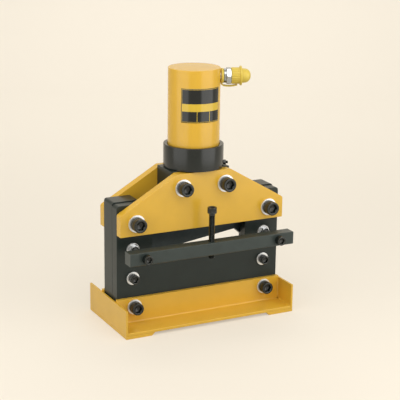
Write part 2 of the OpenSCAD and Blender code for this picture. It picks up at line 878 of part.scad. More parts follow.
module piston_nut() {
  placed() color(dark_steel) translate([0, 0, piston_top])
    hex_nut(rod_top_d + 2 * seat_fit, piston_nut_af, piston_nut_h);
}

module ram_rod() {
  placed() color(bright_zinc) difference() {
    rotate_extrude()
      polygon([
        [0, holder_top - rod_foot_h], [rod_foot_d / 2, holder_top - rod_foot_h],
        [rod_foot_d / 2, holder_top], [rod_d / 2, holder_top], [rod_d / 2, piston_low],
        [rod_top_d / 2, piston_low], [rod_top_d / 2, nut_top], [0, nut_top]
      ]);
    pin_bore();
  }
}

// Cross hole of the pin that ties the rod to the blade holder
module pin_bore() {
  facing_front([0, holder_top - rod_foot_h / 2], rear_y + over)
    cylinder(h = frame_d + 2 * over, d = holder_pin_d + 2 * seat_fit);
}

module holder_pin() {
  placed() color(dark_steel)
    facing_front([0, holder_top - rod_foot_h / 2], rear_y - 2 * slide_fit)
      cylinder(h = frame_d - 4 * slide_fit, d = holder_pin_d);
}

// Return spring, one tube swept along a helix between gland and piston
spring_r = (spring_d - spring_wire) / 2;
spring_rise = spring_closed + stroke - spring_wire - 2 * seat_fit;
spring_z = gland_top + spring_wire / 2 + seat_fit;
rings_per_turn = 12;
wire_sides = 6;
ring_count = round(spring_turns * rings_per_turn) + 1;
function spring_point(i, k) =
  let (
    turn = 360 * i / rings_per_turn,
    side = 360 * k / wire_sides,
    r = spring_r + spring_wire / 2 * cos(side)
  )
  [
    r * cos(turn), r * sin(turn),
    spring_z + spring_rise * i / (ring_count - 1) + spring_wire / 2 * sin(side)
  ];

module return_spring() {
  points = [for (i = [0 : ring_count - 1]) for (k = [0 : wire_sides - 1]) spring_point(i, k)];
  sides = [
    for (i = [0 : ring_count - 2]) for (k = [0 : wire_sides - 1])
      let (a = i * wire_sides + k, b = i * wire_sides + (k + 1) % wire_sides)
      each [[a, b, b + wire_sides], [a, b + wire_sides, a + wire_sides]]
  ];
  first = [for (k = [1 : wire_sides - 2]) [0, k + 1, k]];
  last_ring = (ring_count - 1) * wire_sides;
  last = [for (k = [1 : wire_sides - 2]) [last_ring, last_ring + k, last_ring + k + 1]];
  placed() color(dark_steel) polyhedron(points, concat(sides, first, last));
}

echo(least_spring_gap = spring_rise / spring_turns - spring_wire);

// Blade holder and moving blade

module blade_holder() {
  placed() color(black_frame) difference() {
    union() {
      translate([-blade_half, shear_y + slide_fit, holder_low])
        cube([2 * blade_half, rear_layer_t - 2 * slide_fit, wing_top - holder_low]);
      translate([-head_half, front_y + slide_fit, blade_top])
        cube([2 * head_half, frame_d - 2 * slide_fit, holder_top - blade_top]);
    }
    translate([-slot_half, front_y, holder_low - over])
      cube([2 * slot_half, blade_rear - front_y, blade_top - holder_low + over]);
    translate([0, 0, holder_top - rod_foot_h])
      cylinder(h = rod_foot_h + over, d = rod_foot_d + 2 * seat_fit);
    pin_bore();
    moving_screw_places() flush_screw(blade_screw_d, moving_screw_length(), seat_fit);
  }
}

// Length of a moving blade screw, which stops inside the holder
function moving_screw_length() = blade_t + (rear_y - blade_rear) * screw_reach_share;

// The moving blade's screws go in from the front
module moving_screw_places() {
  for (share = moving_screw_shares)
    facing_front([share * blade_half, moving_screw_z], blade_front) children();
}

module moving_blade() {
  run = heel_drop / tan(heel_slope);
  start_z = edge_z(heel_x);
  placed() color(ground_steel) difference() {
    slab(blade_rear, blade_t)
      polygon([
        [-blade_half, blade_low_z], [heel_x, start_z], [heel_x + run, start_z - heel_drop],
        [blade_half, start_z - heel_drop], [blade_half, blade_top], [-blade_half, blade_top]
      ]);
    translate([heel_x, blade_front, start_z]) rotate([0, -blade_rake, 0])
      rotate([blade_relief, 0, 0]) translate([-2 * slot_half, -over, -blade_t])
        cube([2 * slot_half, 2 * blade_t, blade_t]);
    moving_screw_places() flush_screw(blade_screw_d, moving_screw_length(), seat_fit);
  }
}

module moving_blade_screws() {
  placed() color(black_oxide) moving_screw_places()
    flush_socket_screw(blade_screw_d, moving_screw_length());
}

// Hold-down bar and its screws

module hold_down_bar() {
  half = bar_size / 2;
  edge = half - bar_chamfer;
  placed() color(black_frame) difference() {
    translate([-frame_w / 2, bar_rear - half, bar_mid_z]) rotate([90, 0, 90])
      linear_extrude(frame_w)
        polygon([
          [-edge, -half], [edge, -half], [half, -edge], [half, edge], [edge, half],
          [-edge, half], [-half, edge], [-half, -edge]
        ]);
    holes(bar_places, small_bolt_d + hole_play, bar_front, bar_rear);
    translate([0, bar_rear - half, bar_low - over])
      cylinder(h = bar_size + 2 * over, d = small_bolt_d + 2 * run_fit);
  }
}

module bar_bolts() {
  placed() color(black_oxide) for (place = bar_places)
    facing_front(place, bar_front)
      socket_screw(small_bolt_d, bar_size + bar_gap + front_layer_t + thread_depth);
}

module bar_washers() {
  placed() color(bright_zinc) for (place = bar_places)
    facing_front(place, front_y)
      washer(small_washer_d, small_bolt_d + hole_play, small_washer_t);
}

module bar_nuts() {
  height = small_bolt_d * nut_h_share;
  placed() color(black_oxide)
    for (place = bar_places) for (y = [front_y - small_washer_t, bar_rear + height])
      facing_front(place, y)
        hex_nut(small_bolt_d + 2 * seat_fit, small_bolt_d * nut_af_share, height);
}

module hold_down_screw() {
  placed() color(black_oxide)
    translate([0, bar_rear - bar_size / 2, throat_z + hold_tip_rise + hold_screw_len])
      socket_screw(small_bolt_d, hold_screw_len);
}

base_floor_plate();
base_foot_rails();
base_end_plate(-base_w / 2);  // base_end_plate_left
base_end_plate(inner_half);  // base_end_plate_right
base_wall(front_y);  // base_front_wall
base_wall(rear_y + wall_t);  // base_rear_wall
frame_front_layer();
frame_rear_layer();
fixed_blade();
fixed_blade_screws();
cheek_plate(front_y);  // front_cheek_plate
cheek_plate(rear_y + plate_t);  // rear_cheek_plate
through_bolts(cheek_places, big_bolt_d, plate_t);  // cheek_bolts
through_washers(cheek_places, big_washer_d, big_bolt_d, plate_t);  // cheek_washers
through_nuts(cheek_places, big_bolt_d, plate_t);  // cheek_nuts
through_bolts(base_places, base_bolt_d, wall_t);  // base_bolts
through_washers(base_places, base_washer_d, base_bolt_d, wall_t);  // base_washers
through_nuts(base_places, base_bolt_d, wall_t);  // base_nuts
frame_bolts();
frame_washers();
head_block();
rod_gland();
gland_seal();
mounting_collar();
collar_lock_screw();
collar_lock_nut();
cylinder_barrel();
label_plate();
port_adapter();
coupler_half();
cap_strap();
dust_cap();
piston();
piston_seal();
ram_rod();
piston_nut();
return_spring();
blade_holder();
holder_pin();
moving_blade();
moving_blade_screws();
hold_down_bar();
bar_bolts();
bar_washers();
bar_nuts();
hold_down_screw();
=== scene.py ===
"""Dresses the busbar cutting machine: eased edges, real fasteners, its finishes and a plain studio."""

import json
import math

import bmesh
import bpy
import numpy as np
from mathutils import Matrix, Vector


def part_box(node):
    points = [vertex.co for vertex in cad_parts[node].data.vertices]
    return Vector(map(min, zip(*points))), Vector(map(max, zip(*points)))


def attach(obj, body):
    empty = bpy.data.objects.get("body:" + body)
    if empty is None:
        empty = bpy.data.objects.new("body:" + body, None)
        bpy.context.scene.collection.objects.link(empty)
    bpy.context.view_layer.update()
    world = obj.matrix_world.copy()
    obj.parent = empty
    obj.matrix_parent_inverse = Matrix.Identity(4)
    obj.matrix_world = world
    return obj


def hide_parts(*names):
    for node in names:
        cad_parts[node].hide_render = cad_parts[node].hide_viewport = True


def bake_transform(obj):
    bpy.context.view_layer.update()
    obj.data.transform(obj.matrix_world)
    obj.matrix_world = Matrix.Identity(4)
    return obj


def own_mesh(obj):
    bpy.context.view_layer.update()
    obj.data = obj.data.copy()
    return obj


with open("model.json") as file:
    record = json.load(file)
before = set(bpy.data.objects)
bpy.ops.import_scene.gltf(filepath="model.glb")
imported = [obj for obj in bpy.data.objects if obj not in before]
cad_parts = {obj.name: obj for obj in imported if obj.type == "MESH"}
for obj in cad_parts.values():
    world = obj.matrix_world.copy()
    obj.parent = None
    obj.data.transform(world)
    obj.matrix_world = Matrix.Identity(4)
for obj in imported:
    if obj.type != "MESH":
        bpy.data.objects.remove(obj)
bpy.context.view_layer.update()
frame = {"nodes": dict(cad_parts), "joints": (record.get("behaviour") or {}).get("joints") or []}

bl_info = {
    "name": "Busbar cutting machine",
    "version": (1, 0, 0),
    "blender": (4, 5, 0),
    "location": "3D View > Sidebar > Cutter",
    "description": "Builds the finished look of a hydraulic busbar cutting machine on its packed frame",
    "category": "Object",
}

TURN = 2 * math.pi
MM = 0.001

UP = (0, 0, 1)
FRONT = (0, -1, 0)

# Distance under which two vertices of a CAD node are one, the turn under which its faces make one flat, and
# the turn from which its edges are eased
MERGE, FLAT_WITHIN, EASED_FROM = 0.002 * MM, math.radians(0.5), math.radians(30)


# Sizes and colours that a user would change


def span(name, description, default):
    """A length that a user can change."""
    return bpy.props.FloatProperty(name=name, description=description, default=default, unit="LENGTH")


def tone(name, description, default):
    """A colour that a user can change, as an sRGB hex value."""
    return bpy.props.StringProperty(name=name, description=description, default=default)


class CutterSizes(bpy.types.PropertyGroup):
    """Sizes of the fine forms that the solids leave out"""

    plate_edge: span("Plate edge", "Radius broken on the edges of the steel plates", 0.5 * MM)
    floor_edge: span("Floor plate edge", "Radius broken on the edges of the base's floor plate", 1.1 * MM)
    bar_edge: span("Bar edge", "Radius along the chamfers of the hold-down bar", 0.35 * MM)
    blade_edge: span("Blade edge", "Radius on the edges of the blades", 0.15 * MM)
    knurl_pitch: span("Knurl pitch", "Distance between the ridges on a socket head", 1.25 * MM)
    knurl_depth: span("Knurl depth", "Depth of the grooves between those ridges", 0.3 * MM)
    small_pitch: span("Small thread pitch", "Pitch of the 12 mm thread", 1.75 * MM)
    base_pitch: span("Base thread pitch", "Pitch of the 16 mm thread", 2.0 * MM)
    cheek_pitch: span("Cheek thread pitch", "Pitch of the 18 mm thread", 2.5 * MM)
    weld: span("Weld bead", "Height of the fillet welds in the base", 3.0 * MM)
    weld_ripple: span("Weld ripple", "Distance between the ripples of a weld", 2.4 * MM)
    camera_lens: bpy.props.FloatProperty(
        name="Lens", description="Focal length in millimetres on a 36 mm wide sensor", default=110.87
    )


class CutterColours(bpy.types.PropertyGroup):
    """Colours of the finishes as sRGB hex values"""

    enamel: tone("Enamel", "Yellow machine enamel", "#DEAD35")
    blackened: tone("Blackened plate", "Ground and blackened frame steel", "#1F2825")
    bar: tone("Blackened bar", "Blackened bright bar of the hold-down", "#363E3B")
    oxide: tone("Black oxide", "Oiled black oxide on screws and collar", "#121815")
    zinc: tone("Zinc", "Bright zinc plate", "#DEE0E2")
    # The adapter's and nuts' zinc is darker than the washers' zinc: painted shade for the dark parts that
    # they mirror
    bright_zinc: tone("Bright zinc", "Zinc plate on the adapter and the nuts, darkened as painted shade", "#B2B6BA")
    tool_steel: tone("Tool steel", "Hardened and darkened blade steel", "#30383A")
    machined: tone("Machined steel", "Bare machined steel", "#A5A6A8")
    chrome: tone("Hard chrome", "Ground hard chrome of the rod", "#D6D9DC")
    nitrile: tone("Nitrile", "Rubber of the seal rings", "#1C2A25")
    cap: tone("Dust cap", "Soft lemon yellow vinyl", "#D8BC48")
    label_field: tone("Label field", "Black fields of the label", "#141816")
    label_band: tone("Label band", "Yellow band and lines of the label", "#D8B436")
    backdrop: tone("Backdrop", "Pale paper under and behind the machine", "#FAF0DF")
    bounce: tone("Bounce", "Tone of that paper in the light that it hands on", "#BABAB4")


def sizes():
    """The scene's own sizes."""
    return bpy.context.scene.cutter_sizes


def colours():
    """The scene's own colours."""
    return bpy.context.scene.cutter_colours


def linear(text):
    """An sRGB hex colour such as #DDAA3C as linear red, green, blue and one."""
    parts = [int(text[i : i + 2], 16) / 255 for i in (1, 3, 5)]
    return tuple(p / 12.92 if p <= 0.04045 else ((p + 0.055) / 1.055) ** 2.4 for p in parts) + (1.0,)


# Surfaces on a grid of two parameters


def stack(rings, looped=False):
    """Points, quads and triangles of a stack of rings of shape (rings, sides, 3). Each ring meets the next.
    The two ends close in a fan round their middle points, or a looped stack's last ring meets its first."""
    rings = np.asarray(rings, float)
    count, sides = rings.shape[:2]
    points = rings.reshape(-1, 3)
    i = np.arange(count if looped else count - 1)[:, None]
    j = np.arange(sides)[None, :]
    k, n = (j + 1) % sides, (i + 1) % count
    quads = np.stack([i * sides + j, i * sides + k, n * sides + k, n * sides + j], -1).reshape(-1, 4)
    if looped:
        return points, quads, np.empty((0, 3), int)
    side, after, last = np.arange(sides), (np.arange(sides) + 1) % sides, (count - 1) * sides
    low = np.full(sides, len(points))
    fans = np.concatenate([
        np.stack([low, after, side], -1), np.stack([low + 1, last + side, last + after], -1)
    ])
    return np.concatenate([points, rings[[0, -1]].mean(1)]), quads, fans


def around(radius, height, sides):
    """Rings about Z: x = r cos a, y = r sin a, z = h, where r and h may follow the ring and a."""
    angle = np.linspace(0, TURN, sides, endpoint=False)
    rows = max(len(radius), len(height))
    radius = np.broadcast_to(np.asarray(radius, float).reshape(len(radius), -1), (rows, sides))
    height = np.broadcast_to(np.asarray(height, float).reshape(len(height), -1), (rows, sides))
    return np.stack([radius * np.cos(angle), radius * np.sin(angle), height], -1)


def profile(rows, sides):
    """Rings about Z from rows of (radius, height), where a radius is one number or a row over the angle."""
    radii = np.array([np.broadcast_to(radius, sides) for radius, _ in rows])
    return around(radii, np.array([[height] for _, height in rows]), sides)


def eased(outline, reach, steps, closed=False):
    """Each corner of an outline becomes a quadratic curve from `reach` before it to `reach` after it, or
    from the middle of a shorter side: (1-t)^2 a + 2t(1-t) b + t^2 c."""
    outline = np.asarray(outline, float)

    def cut(neighbour):
        """The point where the curve starts on the side towards a neighbour."""
        way = neighbour - outline
        length = np.maximum(np.linalg.norm(way, axis=1, keepdims=True), 1e-9)
        return outline + way * np.minimum(reach, length / 2) / length

    start, end = cut(np.roll(outline, 1, 0)), cut(np.roll(outline, -1, 0))
    t = np.linspace(0, 1, steps + 1)[None, :, None]
    curve = (1 - t) ** 2 * start[:, None] + 2 * t * (1 - t) * outline[:, None] + t**2 * end[:, None]
    if closed:
        return curve.reshape(-1, 2)
    return np.concatenate([outline[:1], curve[1:-1].reshape(-1, 2), outline[-1:]])


def turned(outline, sides, looped=False):
    """A lathe form: an outline of (radius, height) pairs carried round Z."""
    outline = np.asarray(outline, float)
    return stack(around(outline[:, :1], outline[:, 1:], sides), looped)


def swept(path, side, up, section):
    """A section of (sideways, upwards) pairs carried along a path, with a side and an up at each point."""
    section = np.asarray(section, float)
    return stack(path[:, None] + section[None, :, :1] * side[:, None] + section[None, :, 1:] * up[:, None])


def turned_to(direction, place, shape):
    """A shape whose Z axis is turned to a direction, with its origin moved to a place."""
    z = Vector(direction).normalized()
    x = Vector((1, 0, 0)) if abs(z.z) > 0.999 else Vector(UP).cross(z).normalized()
    axes = np.array([x, z.cross(x), z])
    return (shape[0] @ axes + np.asarray(place), *shape[1:])


def hexagon(flats, sides):
    """A hexagon's radius: half the flats over the cosine of the angle from the nearest side's middle."""
    angle = np.linspace(0, TURN, sides, endpoint=False)
    return flats / 2 / np.cos(angle % (TURN / 6) - TURN / 12)


def nut_side(flats, sides, from_end):
    """Radius at a distance from a nut's end: min(hexagon, cone), with a cone that cuts the corners at 30
    degrees."""
    return np.minimum(hexagon(flats, sides), flats / 2 * NUT_FACE_SHARE + from_end / math.tan(TURN / 12))


def corner_rise(flats):
    """Height over which that cone runs from the middle of a side to the corner."""
    return (flats / 2 / math.cos(TURN / 12) - flats / 2) * math.tan(TURN / 12)


# Pieces


def outward(shape):
    """The same shape with its faces turned outwards, where its signed volume comes out below zero."""
    points, quads, tris = shape
    corners = [quads[:, [0, 1, 2]], quads[:, [0, 2, 3]], tris]
    faces = points[np.concatenate([rows for rows in corners if len(rows)])]
    volume = np.einsum("ij,ij->i", faces[:, 0], np.cross(faces[:, 1], faces[:, 2])).sum()
    return shape if volume > 0 else (points, quads[:, ::-1], tris[:, ::-1])


def linked(name, data):
    """A new object in the scene for a mesh, a lamp or a camera."""
    obj = bpy.data.objects.new(name, data)
    bpy.context.scene.collection.objects.link(obj)
    return obj


def smooth(mesh):
    """Shades every face of a mesh smooth."""
    mesh.polygons.foreach_set("use_smooth", np.ones(len(mesh.polygons), bool))


def settle(obj, finish, body, nodes=()):
    """Gives a piece its finish, its CAD body and the CAD nodes that it stands for."""
    obj.data.materials.clear()
    obj.data.materials.append(FINISHES[finish])
    if nodes:
        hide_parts(*nodes)
    if body:
        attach(obj, body)
    return obj


def piece(name, shapes, finish, body, nodes=(), crease=35):
    """One object from closed shapes, put into the mesh as whole arrays and shaded smooth up to a crease
    angle."""
    shapes = [outward(shape) for shape in shapes]
    starts = np.cumsum([0] + [len(shape[0]) for shape in shapes])
    points = np.concatenate([shape[0] for shape in shapes])
    quads = np.concatenate([shape[1] + start for shape, start in zip(shapes, starts)]).astype(np.int32)
    tris = np.concatenate([shape[2] + start for shape, start in zip(shapes, starts)]).astype(np.int32)
    mesh = bpy.data.meshes.new(name)
    mesh.vertices.add(len(points))
    mesh.vertices.foreach_set("co", points.astype(np.float32).ravel())
    corners = np.concatenate([quads.ravel(), tris.ravel()])
    mesh.loops.add(len(corners))
    mesh.loops.foreach_set("vertex_index", corners)
    first = np.concatenate([np.arange(len(quads)) * 4, quads.size + np.arange(len(tris)) * 3])
    mesh.polygons.add(len(first))
    mesh.polygons.foreach_set("loop_start", first.astype(np.int32))
    mesh.update(calc_edges=True)
    smooth(mesh)
    mesh.set_sharp_from_angle(angle=math.radians(crease))
    return settle(linked(name, mesh), finish, body, nodes)


def eased_copy(name, node, finish, body, reach, segments=3, cuts=()):
    """A merged copy of a CAD node with its flat faces made whole again and its edges rounded by a Bevel
    modifier. Each cut is a plane, as a point and the direction of what falls away."""
    form = bmesh.new()
    form.from_mesh(frame["nodes"][node].data)
    bmesh.ops.remove_doubles(form, verts=form.verts[:], dist=MERGE)
    bmesh.ops.dissolve_limit(form, angle_limit=FLAT_WITHIN, verts=form.verts[:], edges=form.edges[:])
    for point, away in cuts:
        parts = form.verts[:] + form.edges[:] + form.faces[:]
        cut = bmesh.ops.bisect_plane(form, geom=parts, plane_co=point, plane_no=away, clear_outer=True)
        rim = [part for part in cut["geom_cut"] if isinstance(part, bmesh.types.BMEdge)]
        bmesh.ops.contextual_create(form, geom=rim)
    mesh = bpy.data.meshes.new(name)
    form.to_mesh(mesh)
    form.free()
    smooth(mesh)
    mesh.set_sharp_from_angle(angle=EASED_FROM)
    obj = linked(name, mesh)
    bevel = obj.modifiers.new("Eased edges", "BEVEL")
    bevel.width, bevel.segments = reach, segments
    bevel.limit_method, bevel.angle_limit = "ANGLE", EASED_FROM
    bevel.use_clamp_overlap = False
    bevel.harden_normals = True
    return settle(obj, finish, body, [node])


# Places in the frame


def node_points(node):
    """The places of a CAD node's vertices, one row each."""
    mesh = frame["nodes"][node].data
    points = np.empty(len(mesh.vertices) * 3, np.float32)
    mesh.vertices.foreach_get("co", points)
    return points.reshape(-1, 3).astype(float)


def first_corner(box):
    """The low corner of a box, rounded so that boxes in a row sort by it."""
    return tuple(np.round(box[0], 5))


def islands(node):
    """Boxes (low, high) of the separate solids of a CAD node. Vertices at one place count as one, and each
    triangle hands on its lowest label until none changes."""
    points = node_points(node)
    mesh = frame["nodes"][node].data
    corners = np.empty(len(mesh.loops), np.int32)
    mesh.loops.foreach_get("vertex_index", corners)
    _, same = np.unique(np.round(points / MERGE).astype(np.int64), axis=0, return_inverse=True)
    same = same.ravel()
    tris = same[corners].reshape(-1, 3)
    label = np.arange(same.max() + 1)
    while True:
        low = label[tris].min(1)
        new = label.copy()
        for k in range(3):
            np.minimum.at(new, tris[:, k], low)
        new = new[new]
        if np.array_equal(new, label):
            break
        label = new
    label = label[same]
    groups = [points[label == value] for value in np.unique(label)]
    return sorted([(group.min(0), group.max(0)) for group in groups], key=first_corner)


def middle(box):
    """The middle of a box seen from above."""
    low, high = box
    return ((low.x + high.x) / 2, (low.y + high.y) / 2)


def joint(name):
    """One joint of the frame by its name."""
    return [row for row in frame["joints"] if row["name"] == name][0]


def coupler_way():
    """The coupler's direction, which the cap's joint holds."""
    return tuple(joint("cap_pull_off")["axis"])


def reach_along(node, centre, way):
    """Least and greatest distance of a node's points from the cylinder's axis along a direction."""
    along = (node_points(node)[:, :2] - centre) @ np.array(way[:2])
    return float(along.min()), float(along.max())


# Forms of the fasteners

# Sizes of the standard fasteners, as shares of the thread
HEAD_SHARE = 1.5
KEY_SHARE = 0.84
KEY_DEPTH_SHARE = 0.5
# Sizes of a thread as shares of its pitch: its depth, and the length over which it fades at the bolt's end
THREAD_DEPTH_SHARE = 0.61
LEAD_SHARE = 0.5
# Over one pitch a groove's depth is 1.15 less 2.5 times the distance from its middle, held between 0 and 1
GROOVE_TOP, GROOVE_SLOPE = 1.15, 2.5
# The round face of a nut as a share of its flats, and the eased edge of a washer as a share of its thickness
NUT_FACE_SHARE, WASHER_EASE_SHARE = 0.985, 0.16
# Length that is threaded on each bolt, and the bore of each washer
THREADED = {"cheek_bolts": 42 * MM, "base_bolts": 38 * MM, "frame_bolts": 20 * MM, "bar_bolts": 85 * MM}
WASHER_BORES = {
    "cheek_washers": 19 * MM, "base_washers": 17 * MM, "frame_washers": 13 * MM, "bar_washers": 13 * MM,
}


def thread_rings(diameter, pitch, start, end, sides=48, steps=7):
    """Rings of a cut thread: r = crest - depth * groove((z / pitch + angle / turn) mod 1), with a cone at
    the end."""
    rows = max(3, int(abs(end - start) / pitch * steps) + 1)
    z = np.linspace(start, end, rows)[:, None]
    phase = (z / pitch + np.arange(sides)[None, :] / sides) % 1
    groove = np.clip(GROOVE_TOP - GROOVE_SLOPE * np.abs(phase - 0.5), 0, 1)
    cone = diameter / 2 - np.maximum(0, pitch * LEAD_SHARE - np.abs(z - end))
    radius = np.minimum(diameter / 2 - pitch * THREAD_DEPTH_SHARE * groove, cone)
    return around(radius, z, sides)


def socket_head(thread, pitch, depth):
    """Knurled socket head on its seat at zero: a lathe outline whose side carries ridges, with
    r = r0 - d (1 - cos(n a)) / 2, and whose mouth changes from a circle to the key's hexagon over a conical
    floor. Heights are shares of the thread, which is also the head's height."""
    sides = 288
    radius, edge = thread * HEAD_SHARE / 2, thread * 0.07
    ridges = max(24, int(round(TURN * radius / pitch / 6)) * 6)
    wave = (1 - np.cos(np.linspace(0, TURN, sides, endpoint=False) * ridges)) / 2 * depth
    key = hexagon(thread * KEY_SHARE, sides)
    mouth = thread * KEY_SHARE / 2 / math.cos(TURN / 12)
    floor = thread * (1 - KEY_DEPTH_SHARE)
    rows = [
        (radius - edge, 0), (radius, edge * 0.8), (radius, thread * 0.14),
        (radius - wave * 0.6, thread * 0.17), (radius - wave, thread * 0.2),
        (radius - wave, thread * 0.72), (radius - wave * 0.6, thread * 0.76),
        (radius, thread * 0.79), (radius, thread - edge),
        (radius - edge * 0.3, thread - edge * 0.3), (radius - edge, thread),
        (mouth + edge * 0.6, thread), (mouth, thread - edge * 0.4),
        (key, thread - edge * 1.6), (key, floor), (thread * 0.05, floor - thread * 0.14),
    ]
    return stack(profile(rows, sides))


def socket_bolt(thread, length, pitch, cut):
    """Socket head bolt on its seat at zero: the head, a plain shank and a thread over its last `cut`."""
    shapes = [socket_head(thread, sizes().knurl_pitch, sizes().knurl_depth)]
    plain = max(length - cut, 0)
    rings = []
    if plain > 0:
        rings.append(profile([(thread / 2, 0), (thread / 2, -plain)], 48))
    rings.append(thread_rings(thread, pitch, -plain, -length))
    shapes.append(stack(np.concatenate(rings)))
    return shapes


def hex_nut(bore, flats, height, sides=96):
    """Nut on zero: the sides of nut_side from both ends, and a countersunk bore."""
    ramp = np.linspace(0, corner_rise(flats), 6)
    rows = [(nut_side(flats, sides, rise), rise) for rise in ramp]
    rows += [(nut_side(flats, sides, rise), height - rise) for rise in ramp[::-1]]
    sink = bore * 0.07
    rows += [(bore / 2 + sink, height), (bore / 2, height - sink), (bore / 2, sink), (bore / 2 + sink, 0)]
    return stack(profile(rows, sides), looped=True)


def flat_washer(outer, bore, thickness):
    """Washer on zero: a rectangle with eased corners carried round Z."""
    outline = [(bore / 2, 0), (outer / 2, 0), (outer / 2, thickness), (bore / 2, thickness)]
    return turned(eased(outline, thickness * WASHER_EASE_SHARE, 3, True), 96, looped=True)


def row(node, ending, finish, form):
    """One piece with a form for each solid of a CAD node, turned to the front. From the solid's size the
    form gives the depth of its zero behind the solid's front, and its shapes."""
    shapes = []
    for low, high in islands(node):
        depth, parts = form(high - low)
        place = ((low[0] + high[0]) / 2, low[1] + depth, (low[2] + high[2]) / 2)
        shapes += [turned_to(FRONT, place, part) for part in parts]
    piece(node + ending, shapes, finish, "machine", [node])


def bolt_row(node, pitch):
    """A row of socket bolts on the seats of their heads."""

    def bolt(size):
        """One of them, whose head is as deep as its thread is wide."""
        thread = size[0] / HEAD_SHARE
        return thread, socket_bolt(thread, size[1] - thread, pitch, THREADED[node])

    row(node, "_knurled", "oxide", bolt)


def nut_row(node, ending="_black", finish="oxide"):
    """A row of hexagon nuts on their rear faces."""

    def nut(size):
        """One of them, with a flat above and below."""
        return size[1], [hex_nut(size[2] / HEAD_SHARE, size[2], size[1])]

    row(node, ending, finish, nut)


def washer_row(node):
    """A row of flat washers on their rear faces."""

    def washer(size):
        """One of them."""
        return size[1], [flat_washer(size[0], WASHER_BORES[node], size[1])]

    row(node, "_zinc", "zinc", washer)


# Finishes

# The usual index of refraction, and the lower one of a thin porous coat
USUAL_INDEX, COAT_INDEX = 1.5, 1.42
# Range that a soft noise seldom leaves
NOISE_LOW, NOISE_HIGH = 0.3, 0.7
# Places on the label as shares of its width and height: the yellow band, the two dividers of the lowest row
# with half their width, and the outer and inner edge of the thin border
LABEL_BAND, LABEL_CELLS, LABEL_LINE = (0.33, 0.555), (0.375, 0.68), 0.006
LABEL_OUTER, LABEL_INNER = (0.014, 0.018), (0.022, 0.028)

# The steels: name, how metallic, range of roughness, size of the clouds and length of the marks along X, Y
# and Z in millimetres, range of brightness, and index
STEELS = {
    # Ground plate under a matt black conversion coat, a little green
    "blackened": ("blackened ground plate", 0.1, (0.28, 0.4), 45, (30, 0.5, 0.5), (0.86, 1.12), COAT_INDEX),
    # The hold-down bar is cut from bright bar and blackened, so it is greyer than the plates
    "bar": ("blackened bright bar", 0.1, (0.28, 0.4), 30, (20, 0.5, 0.5), (0.88, 1.1), COAT_INDEX),
    # Oiled black oxide keeps the steel's gloss under a near black skin
    "oxide": ("oiled black oxide", 0.0, (0.18, 0.28), 9, (0.6, 0.6, 0.6), (0.88, 1.1), USUAL_INDEX),
    # Stamped washers are pale under their zinc and scatter more of the light
    "zinc": ("bright zinc plate", 0.85, (0.26, 0.38), 6, (0.8, 0.8, 0.8), (0.94, 1.05), USUAL_INDEX),
    # Turned and milled parts keep a smoother surface under the zinc than stamped washers do. Their zinc is
    # darker than the washers': painted shade for the dark parts that they mirror
    "bright_zinc": (
        "turned zinc with painted shade", 1.0, (0.12, 0.2), 6, (0.8, 0.8, 0.8), (0.94, 1.04), USUAL_INDEX,
    ),
    # The hardened blades are dark grey, with upright grinding marks that dull their highlights
    "tool_steel": ("ground tool steel", 0.7, (0.3, 0.44), 30, (0.4, 0.4, 14), (0.88, 1.1), USUAL_INDEX),
    # Bare turned steel shows fine marks that run round it
    "machined": ("machined steel", 1.0, (0.24, 0.38), 20, (2, 2, 0.4), (0.88, 1.1), USUAL_INDEX),
    # Hard chrome is ground nearly to a mirror
    "chrome": ("ground hard chrome", 1.0, (0.07, 0.12), 30, (3, 3, 0.4), (0.97, 1.02), USUAL_INDEX),
}
# The mouldings: name, range of roughness and size of the skin's grain in millimetres
MOULDINGS = {
    # Seal rubber is nearly black and matt
    "nitrile": ("moulded nitrile", (0.45, 0.6), 0.8),
    # The cap's soft vinyl is a little waxy
    "cap": ("soft moulded vinyl", (0.32, 0.42), 1.2),
}

# Each finish, and the CAD nodes that wear it where they stay in view
KEPT_NODES = {
    "machined": ("rod_gland", "piston", "piston_nut", "holder_pin"),
    "chrome": ("ram_rod",),
    "nitrile": ("gland_seal", "piston_seal"),
}
FINISHES = {}


def add_node(tree, kind, values=(), links=(), **settings):
    """Adds one shader node, sets its properties and socket values and joins its inputs."""
    node = tree.nodes.new(kind)
    for key, value in settings.items():
        setattr(node, key, value)
    for key, value in dict(values).items():
        node.inputs[key].default_value = value
    for key, socket in dict(links).items():
        tree.links.new(socket, node.inputs[key])
    return node


def new_finish(name):
    """An empty node material with its Object coordinates."""
    material = bpy.data.materials.new(name)
    material.use_nodes = True
    tree = material.node_tree
    tree.nodes.clear()
    place = add_node(tree, "ShaderNodeTexCoord").outputs["Object"]
    return material, tree, place


def close_finish(material, tree, shader):
    """Joins the shader to a new output and hands the finish back."""
    add_node(tree, "ShaderNodeOutputMaterial", links={"Surface": shader.outputs[0]})
    return material


def surface(material, tree, colour, rough, normal, metallic=0.0, index=USUAL_INDEX):
    """Closes a finish with one shader for its colour, roughness and bumps."""
    shader = add_node(
        tree, "ShaderNodeBsdfPrincipled", {"Metallic": metallic, "IOR": index},
        {"Base Color": colour, "Roughness": rough, "Normal": normal},
    )
    return close_finish(material, tree, shader)


def worked_out(tree, kind, links, values=()):
    """The result of one sum, product or comparison."""
    return add_node(tree, "ShaderNodeMath", values, links, operation=kind).outputs[0]


def spread(tree, noise, low, high):
    """A noise stretched so that it fills the range between two values."""
    limits = {"From Min": NOISE_LOW, "From Max": NOISE_HIGH, "To Min": low, "To Max": high}
    return add_node(tree, "ShaderNodeMapRange", limits, {"Value": noise.outputs["Fac"]}).outputs["Result"]


def mottle(tree, place, scale_mm, low, high, detail=4.0):
    """A soft noise of that size in millimetres, by itself and spread between two values."""
    noise = add_node(
        tree, "ShaderNodeTexNoise", {"Scale": 1 / (scale_mm * MM), "Detail": detail}, {"Vector": place}
    )
    return noise.outputs["Fac"], spread(tree, noise, low, high)


